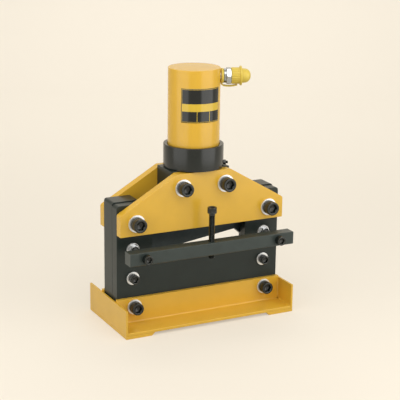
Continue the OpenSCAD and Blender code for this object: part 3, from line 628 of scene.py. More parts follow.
def bumps(tree, height, strength, depth_mm, **under):
    """Bumps of that depth in millimetres, laid over finer ones where those are given."""
    values = {"Strength": strength, "Distance": depth_mm * MM}
    return add_node(tree, "ShaderNodeBump", values, {"Height": height, **under}).outputs["Normal"]


def tinted(tree, colour, amount):
    """A colour whose brightness follows a value round one."""
    shade = add_node(tree, "ShaderNodeHueSaturation", {"Color": linear(colour)}, {"Value": amount})
    return shade.outputs["Color"]


def enamel():
    """Satin machine enamel, sprayed on steel plate: a fine orange peel softens its broad highlights, and
    thinner and thicker patches change its depth a little."""
    material, tree, place = new_finish("satin machine enamel")
    _, depth = mottle(tree, place, 38, 0.965, 1.03)
    peel, sheen = mottle(tree, place, 1.6, 0.19, 0.27, 2.0)
    dust, _ = mottle(tree, place, 0.55, 0, 1, 1.0)
    normal = bumps(tree, peel, 0.22, 0.06, Normal=bumps(tree, dust, 0.12, 0.05))
    return surface(material, tree, tinted(tree, colours().enamel, depth), sheen, normal)


def steel(colour, name, metallic, rough, cloud_mm, grain, bright, index):
    """Steel whose grinding or turning marks are noise drawn out along one axis. Marks under 0.4 mm don't
    show, so they are drawn that coarse. They set the roughness, and wide clouds set the brightness."""
    material, tree, place = new_finish(name)
    _, cloud = mottle(tree, place, cloud_mm, *bright)
    scale = tuple(1 / (length * MM) for length in grain)
    drawn = add_node(tree, "ShaderNodeMapping", {"Scale": scale}, {"Vector": place}).outputs["Vector"]
    marks = add_node(tree, "ShaderNodeTexNoise", {"Scale": 1.0, "Detail": 3.0}, {"Vector": drawn})
    gloss, normal = spread(tree, marks, *rough), bumps(tree, marks.outputs["Fac"], 0.25, 0.05)
    return surface(material, tree, tinted(tree, colour, cloud), gloss, normal, metallic, index)


def moulded(colour, name, rough, grain_mm):
    """Moulded rubber or vinyl: an even colour, a soft sheen and a very fine skin."""
    material, tree, place = new_finish(name)
    _, depth = mottle(tree, place, 14, 0.96, 1.03)
    skin, sheen = mottle(tree, place, grain_mm, *rough)
    return surface(material, tree, tinted(tree, colour, depth), sheen, bumps(tree, skin, 0.2, 0.05))


def label_film():
    """Printed polyester film: black fields, a yellow band with thin dividers and a thin border, all plain.
    It reads the patch's own map, u round the barrel and v upwards."""
    material, tree, place = new_finish("printed label film")
    spot = add_node(tree, "ShaderNodeUVMap", uv_map="film")
    axes = add_node(tree, "ShaderNodeSeparateXYZ", links={"Vector": spot.outputs["UV"]})

    def joined(kind, one, other):
        """Two masks joined by one sum."""
        return worked_out(tree, kind, {0: one, 1: other})

    def between(axis, low, high):
        """One where an axis lies between two values."""
        over = worked_out(tree, "GREATER_THAN", {0: axes.outputs[axis]}, {1: low})
        under = worked_out(tree, "LESS_THAN", {0: axes.outputs[axis]}, {1: high})
        return joined("MULTIPLY", over, under)

    def within(edge):
        """One inside a frame that lies that far from the label's sides."""
        return joined("MULTIPLY", between("X", edge[0], 1 - edge[0]), between("Y", edge[1], 1 - edge[1]))

    core = within(LABEL_INNER)
    border = joined("SUBTRACT", within(LABEL_OUTER), core)
    band = between("Y", *LABEL_BAND)
    lowest = between("Y", LABEL_INNER[1], LABEL_BAND[0])
    left, right = [between("X", cell - LABEL_LINE, cell + LABEL_LINE) for cell in LABEL_CELLS]
    dividers = joined("MULTIPLY", joined("MAXIMUM", left, right), lowest)
    yellow = joined("MULTIPLY", joined("MAXIMUM", band, dividers), core)
    yellow = joined("MAXIMUM", yellow, border)
    colour = add_node(
        tree, "ShaderNodeMix", {6: linear(colours().label_field), 7: linear(colours().label_band)},
        {0: yellow}, data_type="RGBA",
    )
    grain, sheen = mottle(tree, place, 2.5, 0.14, 0.2)
    return surface(material, tree, colour.outputs[2], sheen, bumps(tree, grain, 0.05, 0.02))


class CUTTER_OT_finishes(bpy.types.Operator):
    """Makes the finishes and gives the CAD nodes that stay in view their own"""

    bl_idname = "cutter.finishes"
    bl_label = "Finishes"

    def execute(self, context):
        FINISHES["enamel"] = enamel()
        for finish, looks in STEELS.items():
            FINISHES[finish] = steel(getattr(colours(), finish), *looks)
        for finish, looks in MOULDINGS.items():
            FINISHES[finish] = moulded(getattr(colours(), finish), *looks)
        FINISHES["label"] = label_film()
        for finish, nodes in KEPT_NODES.items():
            for name in nodes:
                node = frame["nodes"][name]
                node.data.materials.clear()
                node.data.materials.append(FINISHES[finish])
        return {"FINISHED"}


# Base

# A weld's ripple as a share of its bead, how steeply ripples fade at its ends, how deep its root sits, and
# the rings for each ripple
RIPPLE_SHARE, RIPPLE_FADE, ROOT_SHARE, RIPPLE_RINGS = 0.04, 40, 0.15, 4


def weld(start, end, side, up, bead, ripple):
    """A dressed fillet weld: its section, a corner with a hollow face (1 - sin a, 1 - cos a), is carried
    along a straight line, and its size swells with the cosine of the ripples."""
    start, end = np.asarray(start, float), np.asarray(end, float)
    length = np.linalg.norm(end - start)
    count = int(length / (ripple / RIPPLE_RINGS)) + 2
    along = np.linspace(0, 1, count)
    fade = np.minimum(1, (1 - np.abs(2 * along - 1)) * RIPPLE_FADE)
    swell = (1 + RIPPLE_SHARE * np.cos(along * length / ripple * TURN) * fade)[:, None, None]
    angle = np.linspace(0, TURN / 4, 6)
    face = np.stack([1 - np.sin(angle), 1 - np.cos(angle)], -1)
    section = np.concatenate([[(-ROOT_SHARE, -ROOT_SHARE)], face]) * bead
    path = start + (end - start) * along[:, None]
    across = section[None, :, :1] * swell * np.asarray(side)
    upwards = section[None, :, 1:] * swell * np.asarray(up)
    return stack(path[:, None] + across + upwards)


class CUTTER_OT_base(bpy.types.Operator):
    """Eased plates of the base and the weld beads that join them"""

    bl_idname = "cutter.base"
    bl_label = "Base"

    def execute(self, context):
        s = sizes()
        for node in (
            "base_foot_rails", "base_end_plate_left", "base_end_plate_right", "base_front_wall",
            "base_rear_wall",
        ):
            eased_copy(node + "_enamelled", node, "enamel", "machine", s.plate_edge)
        eased_copy("base_floor_enamelled", "base_floor_plate", "enamel", "machine", s.floor_edge, 4)
        piece("base_welds", self.welds(s.weld, s.weld_ripple), "enamel", "machine", crease=60)
        return {"FINISHED"}

    def welds(self, bead, ripple):
        """Beads along the feet of the walls and the end plates, and up the corners where they meet."""
        floor_low, floor_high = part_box("base_floor_plate")
        left, right, top = floor_low.x, floor_high.x, floor_high.z
        front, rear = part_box("base_front_wall")[0].y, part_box("base_rear_wall")[1].y
        plate_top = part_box("base_end_plate_left")[1].z
        walls = ((front, (0, -1, 0)), (rear, (0, 1, 0)))
        ends = ((left, (1, 0, 0)), (right, (-1, 0, 0)))
        lines = [((left + bead, y, top), (right - bead, y, top), out, UP) for y, out in walls]
        for x, side in ends:
            lines.append(((x, floor_low.y + bead, top), (x, front - bead, top), side, UP))
            lines.append(((x, rear + bead, top), (x, floor_high.y - bead, top), side, UP))
        for x, side in ends:
            for y, out in walls:
                lines.append(((x, y, top + bead), (x, y, plate_top - bead), side, out))
        return [weld(*line, bead, ripple) for line in lines]


# Frame, cheek plates and head block


class CUTTER_OT_frame(bpy.types.Operator):
    """Eased frame layers, cheek plates, head block and fixed blade"""

    bl_idname = "cutter.frame"
    bl_label = "Frame"

    def execute(self, context):
        s = sizes()
        for node in ("frame_front_layer", "frame_rear_layer", "head_block"):
            eased_copy(node + "_ground", node, "blackened", "machine", s.plate_edge * 2)
        for node in ("front_cheek_plate", "rear_cheek_plate"):
            eased_copy(node + "_enamelled", node, "enamel", "machine", s.plate_edge)
        eased_copy("fixed_blade_ground", "fixed_blade", "tool_steel", "machine", s.blade_edge)
        eased_copy("fixed_blade_screws_black", "fixed_blade_screws", "oxide", "machine", s.blade_edge)
        return {"FINISHED"}


# Cylinder

# The collar's ledge under the barrel and the chamfer of its mouth, as in the solid
COLLAR_LEDGE, COLLAR_MOUTH = 5.5 * MM, 1.5 * MM
# Space between the ram's nut and the barrel's closed top at rest, as in the solid
OIL_GAP = 9 * MM
# Lathe outlines that start on the axis leave this small hole, which their fan closes
AXIS_HOLE = 1 * MM
# Space between the collar and the barrel, how far the corners of both are eased, and the sides round them
COLLAR_FIT, BARREL_EASE, COLLAR_EASE, LATHE_SIDES = 0.05 * MM, 1.3 * MM, 1.1 * MM, 192
# Points round and up the label's patch, and the thickness of its film
LABEL_COLUMNS, LABEL_ROWS, FILM_THICKNESS = 97, 33, 0.3 * MM


class CUTTER_OT_cylinder(bpy.types.Operator):
    """Turned barrel, mounting collar and label"""

    bl_idname = "cutter.cylinder"
    bl_label = "Cylinder"

    def execute(self, context):
        low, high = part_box("cylinder_barrel")
        centre, radius = middle((low, high)), (high.x - low.x) / 2
        gland_low, gland_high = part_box("rod_gland")
        bore = (gland_high.x - gland_low.x) / 2
        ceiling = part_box("ram_rod")[1].z + OIL_GAP
        outline = [
            (AXIS_HOLE, ceiling), (bore, ceiling), (bore, low.z), (radius, low.z), (radius, high.z),
            (AXIS_HOLE, high.z),
        ]
        barrel = turned_to(UP, (*centre, 0), turned(eased(outline, BARREL_EASE, 5), LATHE_SIDES))
        piece("barrel_enamelled", [barrel], "enamel", "machine", ["cylinder_barrel"])
        low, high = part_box("mounting_collar")
        outer, seat = (high.x - low.x) / 2, radius + COLLAR_FIT
        outline = [
            (bore, low.z), (outer, low.z), (outer, high.z), (seat + COLLAR_MOUTH, high.z),
            (seat, high.z - COLLAR_MOUTH), (seat, low.z + COLLAR_LEDGE), (bore, low.z + COLLAR_LEDGE),
        ]
        collar = turned(eased(outline, COLLAR_EASE, 4, True), LATHE_SIDES, True)
        collar = turned_to(UP, (*centre, 0), collar)
        piece("collar_turned", [collar], "oxide", "machine", ["mounting_collar"])
        self.label(centre)
        return {"FINISHED"}

    def label(self, centre):
        """A patch of the barrel, x = r cos a and y = r sin a over the label's angle and height, with its own
        map and thickened by Solidify."""
        points = node_points("label_plate")
        reach = points[:, :2] - centre
        turn = np.unwrap(np.sort(np.arctan2(reach[:, 1], reach[:, 0])))
        radius = np.hypot(reach[:, 0], reach[:, 1]).max()
        u, v = np.meshgrid(np.linspace(0, 1, LABEL_COLUMNS), np.linspace(0, 1, LABEL_ROWS))
        angle = turn[0] + u * (turn[-1] - turn[0])
        z = points[:, 2].min() + v * (points[:, 2].max() - points[:, 2].min())
        grid = np.stack([centre[0] + radius * np.cos(angle), centre[1] + radius * np.sin(angle), z], -1)
        i, j = np.meshgrid(np.arange(LABEL_ROWS - 1), np.arange(LABEL_COLUMNS - 1), indexing="ij")
        first = (i * LABEL_COLUMNS + j).ravel()
        quads = np.stack([first, first + 1, first + 1 + LABEL_COLUMNS, first + LABEL_COLUMNS], -1)
        mesh = bpy.data.meshes.new("label")
        mesh.from_pydata(grid.reshape(-1, 3).tolist(), [], quads.tolist())
        spots = np.stack([u.ravel(), v.ravel()], -1)[quads.ravel()]
        mesh.uv_layers.new(name="film").data.foreach_set("uv", spots.astype(np.float32).ravel())
        smooth(mesh)
        obj = linked("label_film", mesh)
        solid = obj.modifiers.new("Film", "SOLIDIFY")
        solid.thickness, solid.offset = FILM_THICKNESS, -1
        settle(obj, "label", "machine", ["label_plate"])


# Ram

# Where the blade holder's slanted upper corners start, and the turn of their slope's normal from upright
HOLDER_CORNER, HOLDER_SLANT = 78 * MM, math.radians(35)
# The return spring's wire and its turns, with points for each turn and sides of the wire
SPRING_WIRE, SPRING_TURNS = 6 * MM, 8
SPRING_STEPS, WIRE_SIDES = 40, 16


class CUTTER_OT_ram(bpy.types.Operator):
    """Blade holder, moving blade, its screws and the wound return spring"""

    bl_idname = "cutter.ram"
    bl_label = "Ram"

    def execute(self, context):
        s = sizes()
        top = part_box("blade_holder")[1].z
        cuts = [
            ((side * HOLDER_CORNER, 0, top), (side * math.sin(HOLDER_SLANT), 0, math.cos(HOLDER_SLANT)))
            for side in (-1, 1)
        ]
        eased_copy("blade_holder_ground", "blade_holder", "blackened", "ram", s.plate_edge, 3, cuts)
        eased_copy("moving_blade_ground", "moving_blade", "tool_steel", "ram", s.blade_edge)
        eased_copy("moving_blade_screws_black", "moving_blade_screws", "oxide", "ram", s.blade_edge)
        low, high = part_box("return_spring")
        centre, open_height = middle((low, high)), high.z - low.z
        coil = self.coil(centre, (high.x - low.x) / 2, low.z, open_height)
        spring = piece("return_spring_wound", [coil], "machined", "machine", ["return_spring"])
        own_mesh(spring)
        return {"FINISHED"}

    def coil(self, centre, radius, foot, height):
        """A round wire along a helix: x = r cos a, y = r sin a and z rising evenly with the angle a."""
        mean = radius - SPRING_WIRE / 2
        steps = np.linspace(0, 1, SPRING_TURNS * SPRING_STEPS + 1)
        angle = steps * SPRING_TURNS * TURN
        out = np.stack([np.cos(angle), np.sin(angle), np.zeros_like(angle)], -1)
        z = foot + SPRING_WIRE / 2 + (height - SPRING_WIRE) * steps
        path = np.stack([centre[0] + mean * out[:, 0], centre[1] + mean * out[:, 1], z], -1)
        turn = np.linspace(0, TURN, WIRE_SIDES, endpoint=False)
        section = np.stack([np.cos(turn), np.sin(turn)], -1) * SPRING_WIRE / 2
        return swept(path, out, np.tile(UP, (len(steps), 1)), section)


# Fasteners

# The hold-down screw's plain neck, and the lock screw's pitch, sides round it, chamfer and key
NECK_PLAIN = 4 * MM
LOCK_PITCH, LOCK_SIDES, LOCK_EDGE = 1.0 * MM, 36, 0.3 * MM
LOCK_KEY_SHARE, LOCK_KEY_DEPTH = 0.5, 3 * MM


class CUTTER_OT_fasteners(bpy.types.Operator):
    """Knurled socket bolts, nuts and washers of the plates, base and frame, and the collar's lock screw"""

    bl_idname = "cutter.fasteners"
    bl_label = "Fasteners"

    def execute(self, context):
        s = sizes()
        pitches = {"cheek_bolts": s.cheek_pitch, "base_bolts": s.base_pitch, "frame_bolts": s.small_pitch}
        for node, pitch in pitches.items():
            bolt_row(node, pitch)
        for node in ("cheek_nuts", "base_nuts"):
            nut_row(node)
        for node in ("cheek_washers", "base_washers", "frame_washers"):
            washer_row(node)
        self.lock_screw()
        return {"FINISHED"}

    def lock_screw(self):
        """The collar's socket set screw and its nut, on a line through the cylinder's axis."""
        low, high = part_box("collar_lock_screw")
        nut_low, nut_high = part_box("collar_lock_nut")
        centre, way = middle(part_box("cylinder_barrel")), coupler_way()
        diameter, z = high.z - low.z, (nut_low.z + nut_high.z) / 2
        start, end = reach_along("collar_lock_screw", centre, way)
        edge = end - LOCK_EDGE
        key = hexagon(diameter * LOCK_KEY_SHARE, LOCK_SIDES)
        body = thread_rings(diameter, LOCK_PITCH, start, edge, LOCK_SIDES, 6)
        rows = [(diameter * 0.4, end), (diameter * 0.32, end), (key, edge), (key, end - LOCK_KEY_DEPTH)]
        rings = np.concatenate([body, profile(rows, LOCK_SIDES)])
        screw = turned_to(way, (*centre, z), stack(rings))
        piece("collar_lock_screw_cut", [screw], "oxide", "machine", ["collar_lock_screw"])
        start, end = reach_along("collar_lock_nut", centre, way)
        flats = min(nut_high.z - nut_low.z, diameter * HEAD_SHARE)
        place = (centre[0] + way[0] * start, centre[1] + way[1] * start, z)
        nut = turned_to(way, place, hex_nut(diameter, flats, end - start, 72))
        piece("collar_lock_nut_black", [nut], "oxide", "machine", ["collar_lock_nut"])


# Hold-down bar


class CUTTER_OT_hold_down(bpy.types.Operator):
    """Hold-down bar, its long bolts with washers and nuts, and the threaded hold-down screw"""

    bl_idname = "cutter.hold_down"
    bl_label = "Hold-down"

    def execute(self, context):
        s = sizes()
        eased_copy("hold_down_bar_ground", "hold_down_bar", "bar", "machine", s.bar_edge)
        bolt_row("bar_bolts", s.small_pitch)
        nut_row("bar_nuts", "_zinc", "bright_zinc")
        washer_row("bar_washers")
        low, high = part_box("hold_down_screw")
        thread = (high.x - low.x) / HEAD_SHARE
        seat = high.z - thread
        screw = socket_bolt(thread, seat - low.z, s.small_pitch, seat - low.z - NECK_PLAIN)
        shapes = [turned_to(UP, (*middle((low, high)), seat), shape) for shape in screw]
        piece("hold_down_screw_cut", shapes, "oxide", "hold_down", ["hold_down_screw"])
        return {"FINISHED"}


# Oil coupler

# Its sizes, which the solids have too
NECK_RADIUS, NECK_LENGTH = 9 * MM, 6 * MM
RIM_RADIUS, RIM_LENGTH = 14 * MM, 4.5 * MM
ADAPTER_FLATS, PORT_RADIUS = 30 * MM, 4 * MM
HALF_THREAD, MOUTH_RADIUS = 24 * MM, 7.5 * MM
GRIP_WALL, GRIP_LENGTH, GRIP_GROOVES = 3.5 * MM, 16.5 * MM, 20
FLANGE_LIP, FLANGE_WIDTH = 3.2 * MM, 3.5 * MM
DOME_WALL, DOME_NOSE_SHARE = 1.8 * MM, 0.85
STRAP_T, STRAP_W, STRAP_RING_T, STRAP_SAG = 2.6 * MM, 9 * MM, 5 * MM, 1.2 * MM
STRAP_REACH_SHARE, STRAP_END_SHARE = 0.6, 0.72
# How far the corners of the strap's ring and band are eased
STRAP_RING_EASE, STRAP_EASE = 1.6 * MM, 1.0 * MM
# Depths of the coupler half's mouth, down to its valve, and of the hollow that takes it in the cap
MOUTH_DEPTH, CAVITY_DEPTH = 15.5 * MM, 26 * MM
# The coupler half's pitch, the depths of the rim's and the grip's grooves, and the dome's blunt edge
HALF_PITCH, RIM_GROOVE, GRIP_GROOVE, DOME_EDGE = 2 * MM, 0.8 * MM, 0.9 * MM, 0.35 * MM


class CUTTER_OT_coupler(bpy.types.Operator):
    """Adapter, coupler half, ribbed dust cap and its strap"""

    bl_idname = "cutter.coupler"
    bl_label = "Oil coupler"

    def execute(self, context):
        low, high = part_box("cylinder_barrel")
        centre, barrel = middle((low, high)), (high.x - low.x) / 2
        low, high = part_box("dust_cap")
        flange, place, way = (high.z - low.z) / 2, (*centre, (low.z + high.z) / 2), coupler_way()
        cap_ends = reach_along("dust_cap", centre, way)
        self.adapter(place, way, barrel, reach_along("port_adapter", centre, way))
        self.half(place, way, reach_along("coupler_half", centre, way))
        self.cap(place, way, cap_ends, flange)
        self.strap(place, way, barrel, cap_ends[0], flange)
        return {"FINISHED"}

    def adapter(self, place, way, barrel, ends):
        """Neck, a round rim with a groove, and the hexagon with the cone of nut_side at both ends."""
        sides = 144
        start, end = ends
        foot = barrel + NECK_LENGTH
        shoulder = foot + RIM_LENGTH
        neck, rim, flats = NECK_RADIUS, RIM_RADIUS, ADAPTER_FLATS
        sunk = rim - RIM_GROOVE
        rows = [
            (PORT_RADIUS, start), (neck - 0.6 * MM, start), (neck, start + 0.6 * MM), (neck, foot),
            (sunk, foot), (rim, foot + 0.4 * MM), (rim, foot + 1.3 * MM), (sunk, foot + 1.7 * MM),
            (sunk, foot + 2.4 * MM), (rim, foot + 2.8 * MM), (rim, shoulder - 0.6 * MM), (sunk, shoulder),
        ]
        ramp = np.linspace(0, corner_rise(flats), 6)
        rows += [(nut_side(flats, sides, rise), shoulder + rise) for rise in ramp]
        rows += [(nut_side(flats, sides, rise), end - rise) for rise in ramp[::-1]]
        rows += [(PORT_RADIUS, end), (PORT_RADIUS, end - 3 * MM)]
        shape = turned_to(way, place, stack(profile(rows, sides)))
        piece("port_adapter_zinc", [shape], "bright_zinc", "machine", ["port_adapter"])

    def half(self, place, way, ends):
        """Coupler half: a cut thread outside, and a mouth with the ball of its valve inside."""
        sides = 72
        start, end = ends
        radius, mouth, floor = HALF_THREAD / 2, MOUTH_RADIUS, end - MOUTH_DEPTH
        rear = [(PORT_RADIUS, start), (radius - 0.5 * MM, start), (radius, start + 0.5 * MM)]
        # The last four rows are the valve's ball
        front = [
            (10.6 * MM, end), (mouth + 0.4 * MM, end), (mouth, end - 0.5 * MM), (mouth, floor),
            (4.5 * MM, floor), (4.2 * MM, floor + 1.5 * MM), (3 * MM, floor + 2.9 * MM),
            (1 * MM, floor + 3.3 * MM),
        ]
        thread = thread_rings(HALF_THREAD, HALF_PITCH, start + 0.8 * MM, end - 0.6 * MM, sides)
        rings = np.concatenate([profile(rear, sides), thread, profile(front, sides)])
        shape = turned_to(way, place, stack(rings))
        piece("coupler_half_threaded", [shape], "bright_zinc", "machine", ["coupler_half"])

    def cap(self, place, way, ends, flange):
        """Dust cap: the lathe outline's grip carries grooves, r = r0 - d max(0, cos(n a))^2."""
        sides = 240
        start, end = ends
        grip = flange - FLANGE_LIP
        cavity = grip - GRIP_WALL
        dome = cavity + DOME_WALL
        nose = dome * DOME_NOSE_SHARE
        angle = np.linspace(0, TURN, sides, endpoint=False)
        wave = np.maximum(0, np.cos(angle * GRIP_GROOVES)) ** 2 * GRIP_GROOVE
        near = start + GRIP_LENGTH
        far = near + FLANGE_WIDTH
        rows = [
            (cavity * 0.5, start + CAVITY_DEPTH + 0.3 * MM), (cavity, start + CAVITY_DEPTH),
            (cavity, start + 0.6 * MM), (cavity + 0.5 * MM, start), (grip - 1.4 * MM, start),
            (grip - 0.6 * MM - wave * 0.7, start + 0.4 * MM), (grip - wave, start + 1.3 * MM),
            (grip - wave, near - 1.8 * MM), (grip - wave * 0.5, near - 1.2 * MM),
            (grip, near - 0.7 * MM), (grip + 0.2 * MM, near - 0.2 * MM),
            (flange - 0.9 * MM, near), (flange - 0.25 * MM, near + 0.3 * MM), (flange, near + 1.0 * MM),
            (flange, far - 1.0 * MM), (flange - 0.25 * MM, far - 0.3 * MM), (flange - 0.9 * MM, far),
            (dome + 0.8 * MM, far), (dome, far + 0.8 * MM), (dome, end - nose - 0.8 * MM),
            (dome - DOME_EDGE, end - nose - 0.3 * MM),
        ]
        for lift in np.linspace(0, TURN / 4, 13):
            radius = dome - nose + (nose - DOME_EDGE) * math.cos(lift)
            rows.append((radius, end - nose + nose * math.sin(lift)))
        shape = turned_to(way, place, stack(profile(rows, sides)))
        piece("dust_cap_ribbed", [shape], "cap", "cap", ["dust_cap"])

    def strap(self, place, way, barrel, cap_start, flange):
        """The ring round the neck, a lathe form, and a band that follows a cubic curve from it to the cap:
        (1-t)^3 a + 3t(1-t)^2 b + 3t^2(1-t) c + t^3 d."""
        way = np.array(way, float)
        side = np.array([-way[1], way[0], 0.0])
        up = np.array(UP, float)
        grip = flange - FLANGE_LIP
        ring = grip - STRAP_T / 2
        seat = barrel + NECK_LENGTH / 2
        hole, half = NECK_RADIUS + 0.6 * MM, STRAP_RING_T / 2
        outline = [(hole, seat - half), (ring, seat - half), (ring, seat + half), (hole, seat + half)]
        shapes = [turned_to(way, place, turned(eased(outline, STRAP_RING_EASE, 5, True), 96, True))]
        tip = np.array([cap_start + GRIP_LENGTH * STRAP_END_SHARE, grip + 0.3 * MM + STRAP_T / 2])
        deep = ADAPTER_FLATS / 2 / math.cos(TURN / 12) + STRAP_T + STRAP_SAG
        points = np.array([
            (seat, ring - STRAP_T), (barrel - NECK_LENGTH / 2, deep),
            (seat + (tip[0] - seat) * STRAP_REACH_SHARE, deep), tip,
        ])
        t = np.linspace(0, 1, 49)[:, None]
        weights = [(1 - t) ** 3, 3 * t * (1 - t) ** 2, 3 * t**2 * (1 - t), t**3]
        curve = sum(weight * point for weight, point in zip(weights, points))
        slope = np.gradient(curve, axis=0)
        slope /= np.linalg.norm(slope, axis=1, keepdims=True)
        path = np.asarray(place) + curve[:, :1] * way - curve[:, 1:] * up
        thick = slope[:, 1:] * way + slope[:, :1] * up
        across = np.tile(side, (len(t), 1))
        wide, thin = STRAP_W / 2, STRAP_T / 2
        section = [(-wide, -thin), (wide, -thin), (wide, thin), (-wide, thin)]
        section = eased(section, STRAP_EASE, 4, True)
        shapes.append(swept(path, across, thick, section))
        strap = piece("cap_strap_moulded", shapes, "cap", None, ["cap_strap"], crease=50)
        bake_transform(strap)


# Studio

# The camera's turn about Z, its angle over the floor and its roll in degrees, then its distance in metres
# from the point that it looks at, and that point: all from the fit to the photograph
CAMERA_TURN, CAMERA_RISE, CAMERA_ROLL = -27.217, 15.665, 0.8
CAMERA_DISTANCE, CAMERA_TARGET = 2.4293, (0.01606, 0.0085, 0.22911)

# The backdrop in metres: half its width, where its floor starts and ends, the radius of the turn after it
# and the height of its wall
SHEET_HALF, FLOOR_START, FLOOR_END, SHEET_TURN, WALL_HEIGHT = 6.0, -6.0, 2.2, 1.0, 5.0
# Where the eye follows a ray to the backdrop, the first share of its colour shows by itself and the second
# by its light and shadow, so that it stays pale beyond the lamps and keeps the machine's shadow
BACKDROP_GLOW, BACKDROP_LIT = 0.47, 0.47
# Tone and strength of the surround in the light that it gives
SURROUND_TONE, SURROUND_LIGHT = "#FBFBF8", 0.44

# Each lamp's angle from the camera in degrees, the distance and height of its place and of its target, its
# width and height, all in metres, and its power in watts
LAMPS = {
    "left softbox": (-51, (1.0, 0.62), (0.0, 0.62), (1.05, 1.2), 4.9),
    "right softbox": (60, (1.0, 0.62), (0.0, 0.62), (1.05, 1.2), 6.3),
    "overhead softbox": (0, (1.0, 1.9), (0.0, 0.2), (1.8, 1.2), 16.0),
    "backdrop lamp": (180, (1.7, 2.6), (3.23, 0.6), (2.6, 0.8), 50.0),
}


def followed_rays(tree):
    """1 where the eye follows a ray, straight, mirrored or through something clear, and 0 for scattered
    light, so that the pale surround is seen and mirrored without lighting the machine."""
    path = add_node(tree, "ShaderNodeLightPath")
    share = path.outputs["Is Camera Ray"]
    for kind in ("Is Glossy Ray", "Is Transmission Ray"):
        share = worked_out(tree, "MAXIMUM", {0: share, 1: path.outputs[kind]})
    return share


def camera_ways():
    """Directions over the floor to the camera's right and away from it."""
    turn = math.radians(CAMERA_TURN)
    return np.array([math.cos(turn), math.sin(turn)]), np.array([-math.sin(turn), math.cos(turn)])


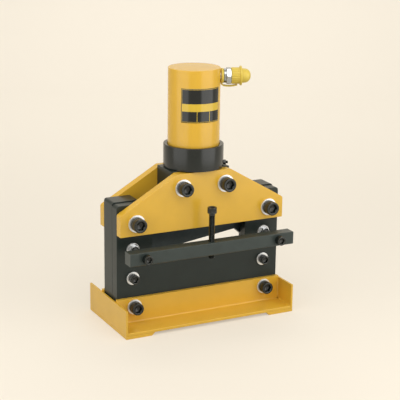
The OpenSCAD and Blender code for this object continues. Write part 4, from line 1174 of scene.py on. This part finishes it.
class CUTTER_OT_studio(bpy.types.Operator):
    """Pale floor and backdrop, soft lamps and the camera"""

    bl_idname = "cutter.studio"
    bl_label = "Studio"

    def execute(self, context):
        self.backdrop()
        for name, (angle, place, target, size, power) in LAMPS.items():
            self.lamp(name, math.radians(angle), place, target, size, power)
        self.surround()
        self.camera()
        context.scene.view_settings.view_transform = "Standard"
        return {"FINISHED"}

    def backdrop(self):
        """A wide sheet: the floor at zero, a quarter turn and a wall, carried sideways."""
        material, tree, place = new_finish("pale paper")
        _, rough = mottle(tree, place, 2.0, 0.75, 0.9)
        followed = followed_rays(tree)
        pale = linear(colours().backdrop)
        lit = (*(BACKDROP_LIT * part for part in pale[:3]), 1.0)
        seen = add_node(
            tree, "ShaderNodeMix", {6: linear(colours().bounce), 7: lit}, {0: followed}, data_type="RGBA",
        )
        glow = worked_out(tree, "MULTIPLY", {0: followed}, {1: BACKDROP_GLOW})
        shader = add_node(
            tree, "ShaderNodeBsdfPrincipled", {"Specular IOR Level": 0.2, "Emission Color": pale},
            {"Base Color": seen.outputs[2], "Roughness": rough, "Emission Strength": glow},
        )
        close_finish(material, tree, shader)
        run = np.linspace(0, TURN / 4, 17)
        bend = np.stack([FLOOR_END + SHEET_TURN * np.sin(run), SHEET_TURN - SHEET_TURN * np.cos(run)], -1)
        outline = np.concatenate([[(FLOOR_START, 0.0)], bend, [(FLOOR_END + SHEET_TURN, WALL_HEIGHT)]])
        right, away = camera_ways()
        sheet = [
            np.concatenate([side * right + outline[:, :1] * away, outline[:, 1:]], axis=1)
            for side in (-SHEET_HALF, SHEET_HALF)
        ]
        count = len(outline)
        first = np.arange(count - 1)
        quads = np.stack([first, first + count, first + count + 1, first + 1], -1)
        mesh = bpy.data.meshes.new("backdrop")
        mesh.from_pydata(np.concatenate(sheet).tolist(), [], quads.tolist())
        smooth(mesh)
        mesh.materials.append(material)
        obj = linked("backdrop", mesh)

    def lamp(self, name, angle, place, target, size, power):
        """An area lamp at its distance and height on the line that leaves the machine at that angle."""
        right, away = camera_ways()
        way = right * math.sin(angle) - away * math.cos(angle)
        spot, aim = [Vector((*(way * distance), height)) for distance, height in (place, target)]
        light = bpy.data.lights.new(name, "AREA")
        light.shape, light.energy = "RECTANGLE", power
        light.size, light.size_y = size
        obj = linked(name, light)
        obj.location = spot
        obj.rotation_euler = (aim - spot).to_track_quat("-Z", "Y").to_euler()

    def surround(self):
        """A world that is seen and mirrored as pale as the backdrop and lights the machine only dimly."""
        world = bpy.data.worlds.new("pale surround")
        bpy.context.scene.world = world
        world.use_nodes = True
        tree = world.node_tree
        tree.nodes.clear()
        plain = add_node(
            tree, "ShaderNodeBackground", {"Color": linear(SURROUND_TONE), "Strength": SURROUND_LIGHT}
        )
        seen = add_node(tree, "ShaderNodeBackground", {"Color": linear(colours().backdrop), "Strength": 1.0})
        mixed = add_node(
            tree, "ShaderNodeMixShader",
            links={0: followed_rays(tree), 1: plain.outputs[0], 2: seen.outputs[0]},
        )
        add_node(tree, "ShaderNodeOutputWorld", links={"Surface": mixed.outputs[0]})

    def camera(self):
        """The camera looks from the front left and a little above, and is turned slightly about its axis."""
        turn, rise, roll = [math.radians(angle) for angle in (CAMERA_TURN, CAMERA_RISE, CAMERA_ROLL)]
        right = Vector((math.cos(turn), math.sin(turn), 0))
        back = Vector((math.sin(turn) * math.cos(rise), -math.cos(turn) * math.cos(rise), math.sin(rise)))
        up = back.cross(right)
        across = right * math.cos(roll) + up * math.sin(roll)
        upward = up * math.cos(roll) - right * math.sin(roll)
        data = bpy.data.cameras.new("camera")
        data.sensor_width, data.lens = 36, sizes().camera_lens
        data.clip_start, data.clip_end = 0.05, 50
        obj = linked("camera", data)
        matrix = Matrix((across, upward, back)).transposed().to_4x4()
        matrix.translation = Vector(CAMERA_TARGET) + back * CAMERA_DISTANCE
        obj.matrix_world = matrix
        bpy.context.scene.camera = obj


# Add-on

STEPS = (
    CUTTER_OT_finishes, CUTTER_OT_base, CUTTER_OT_frame, CUTTER_OT_cylinder, CUTTER_OT_ram,
    CUTTER_OT_fasteners, CUTTER_OT_hold_down, CUTTER_OT_coupler, CUTTER_OT_studio,
)


class CUTTER_PT_panel(bpy.types.Panel):
    """Lists the steps of the machine in the 3D view's sidebar"""

    bl_idname = "CUTTER_PT_panel"
    bl_label = "Busbar cutting machine"
    bl_space_type = "VIEW_3D"
    bl_region_type = "UI"
    bl_category = "Cutter"

    def draw(self, context):
        for step in STEPS:
            self.layout.operator(step.bl_idname)
        for group in (context.scene.cutter_sizes, context.scene.cutter_colours):
            box = self.layout.box()
            for key in group.__annotations__:
                box.prop(group, key)


CLASSES = (CutterSizes, CutterColours, *STEPS, CUTTER_PT_panel)


def register():
    """Registers the classes and hangs the sizes and colours on the scene."""
    for item in CLASSES:
        bpy.utils.register_class(item)
    bpy.types.Scene.cutter_sizes = bpy.props.PointerProperty(type=CutterSizes)
    bpy.types.Scene.cutter_colours = bpy.props.PointerProperty(type=CutterColours)


def unregister():
    """Takes both away again."""
    del bpy.types.Scene.cutter_colours
    del bpy.types.Scene.cutter_sizes
    for item in reversed(CLASSES):
        bpy.utils.unregister_class(item)


def main():
    """Runs every step in order."""
    register()
    for step in STEPS:
        group, name = step.bl_idname.split(".")
        getattr(getattr(bpy.ops, group), name)()


if __name__ == "__main__":
    main()
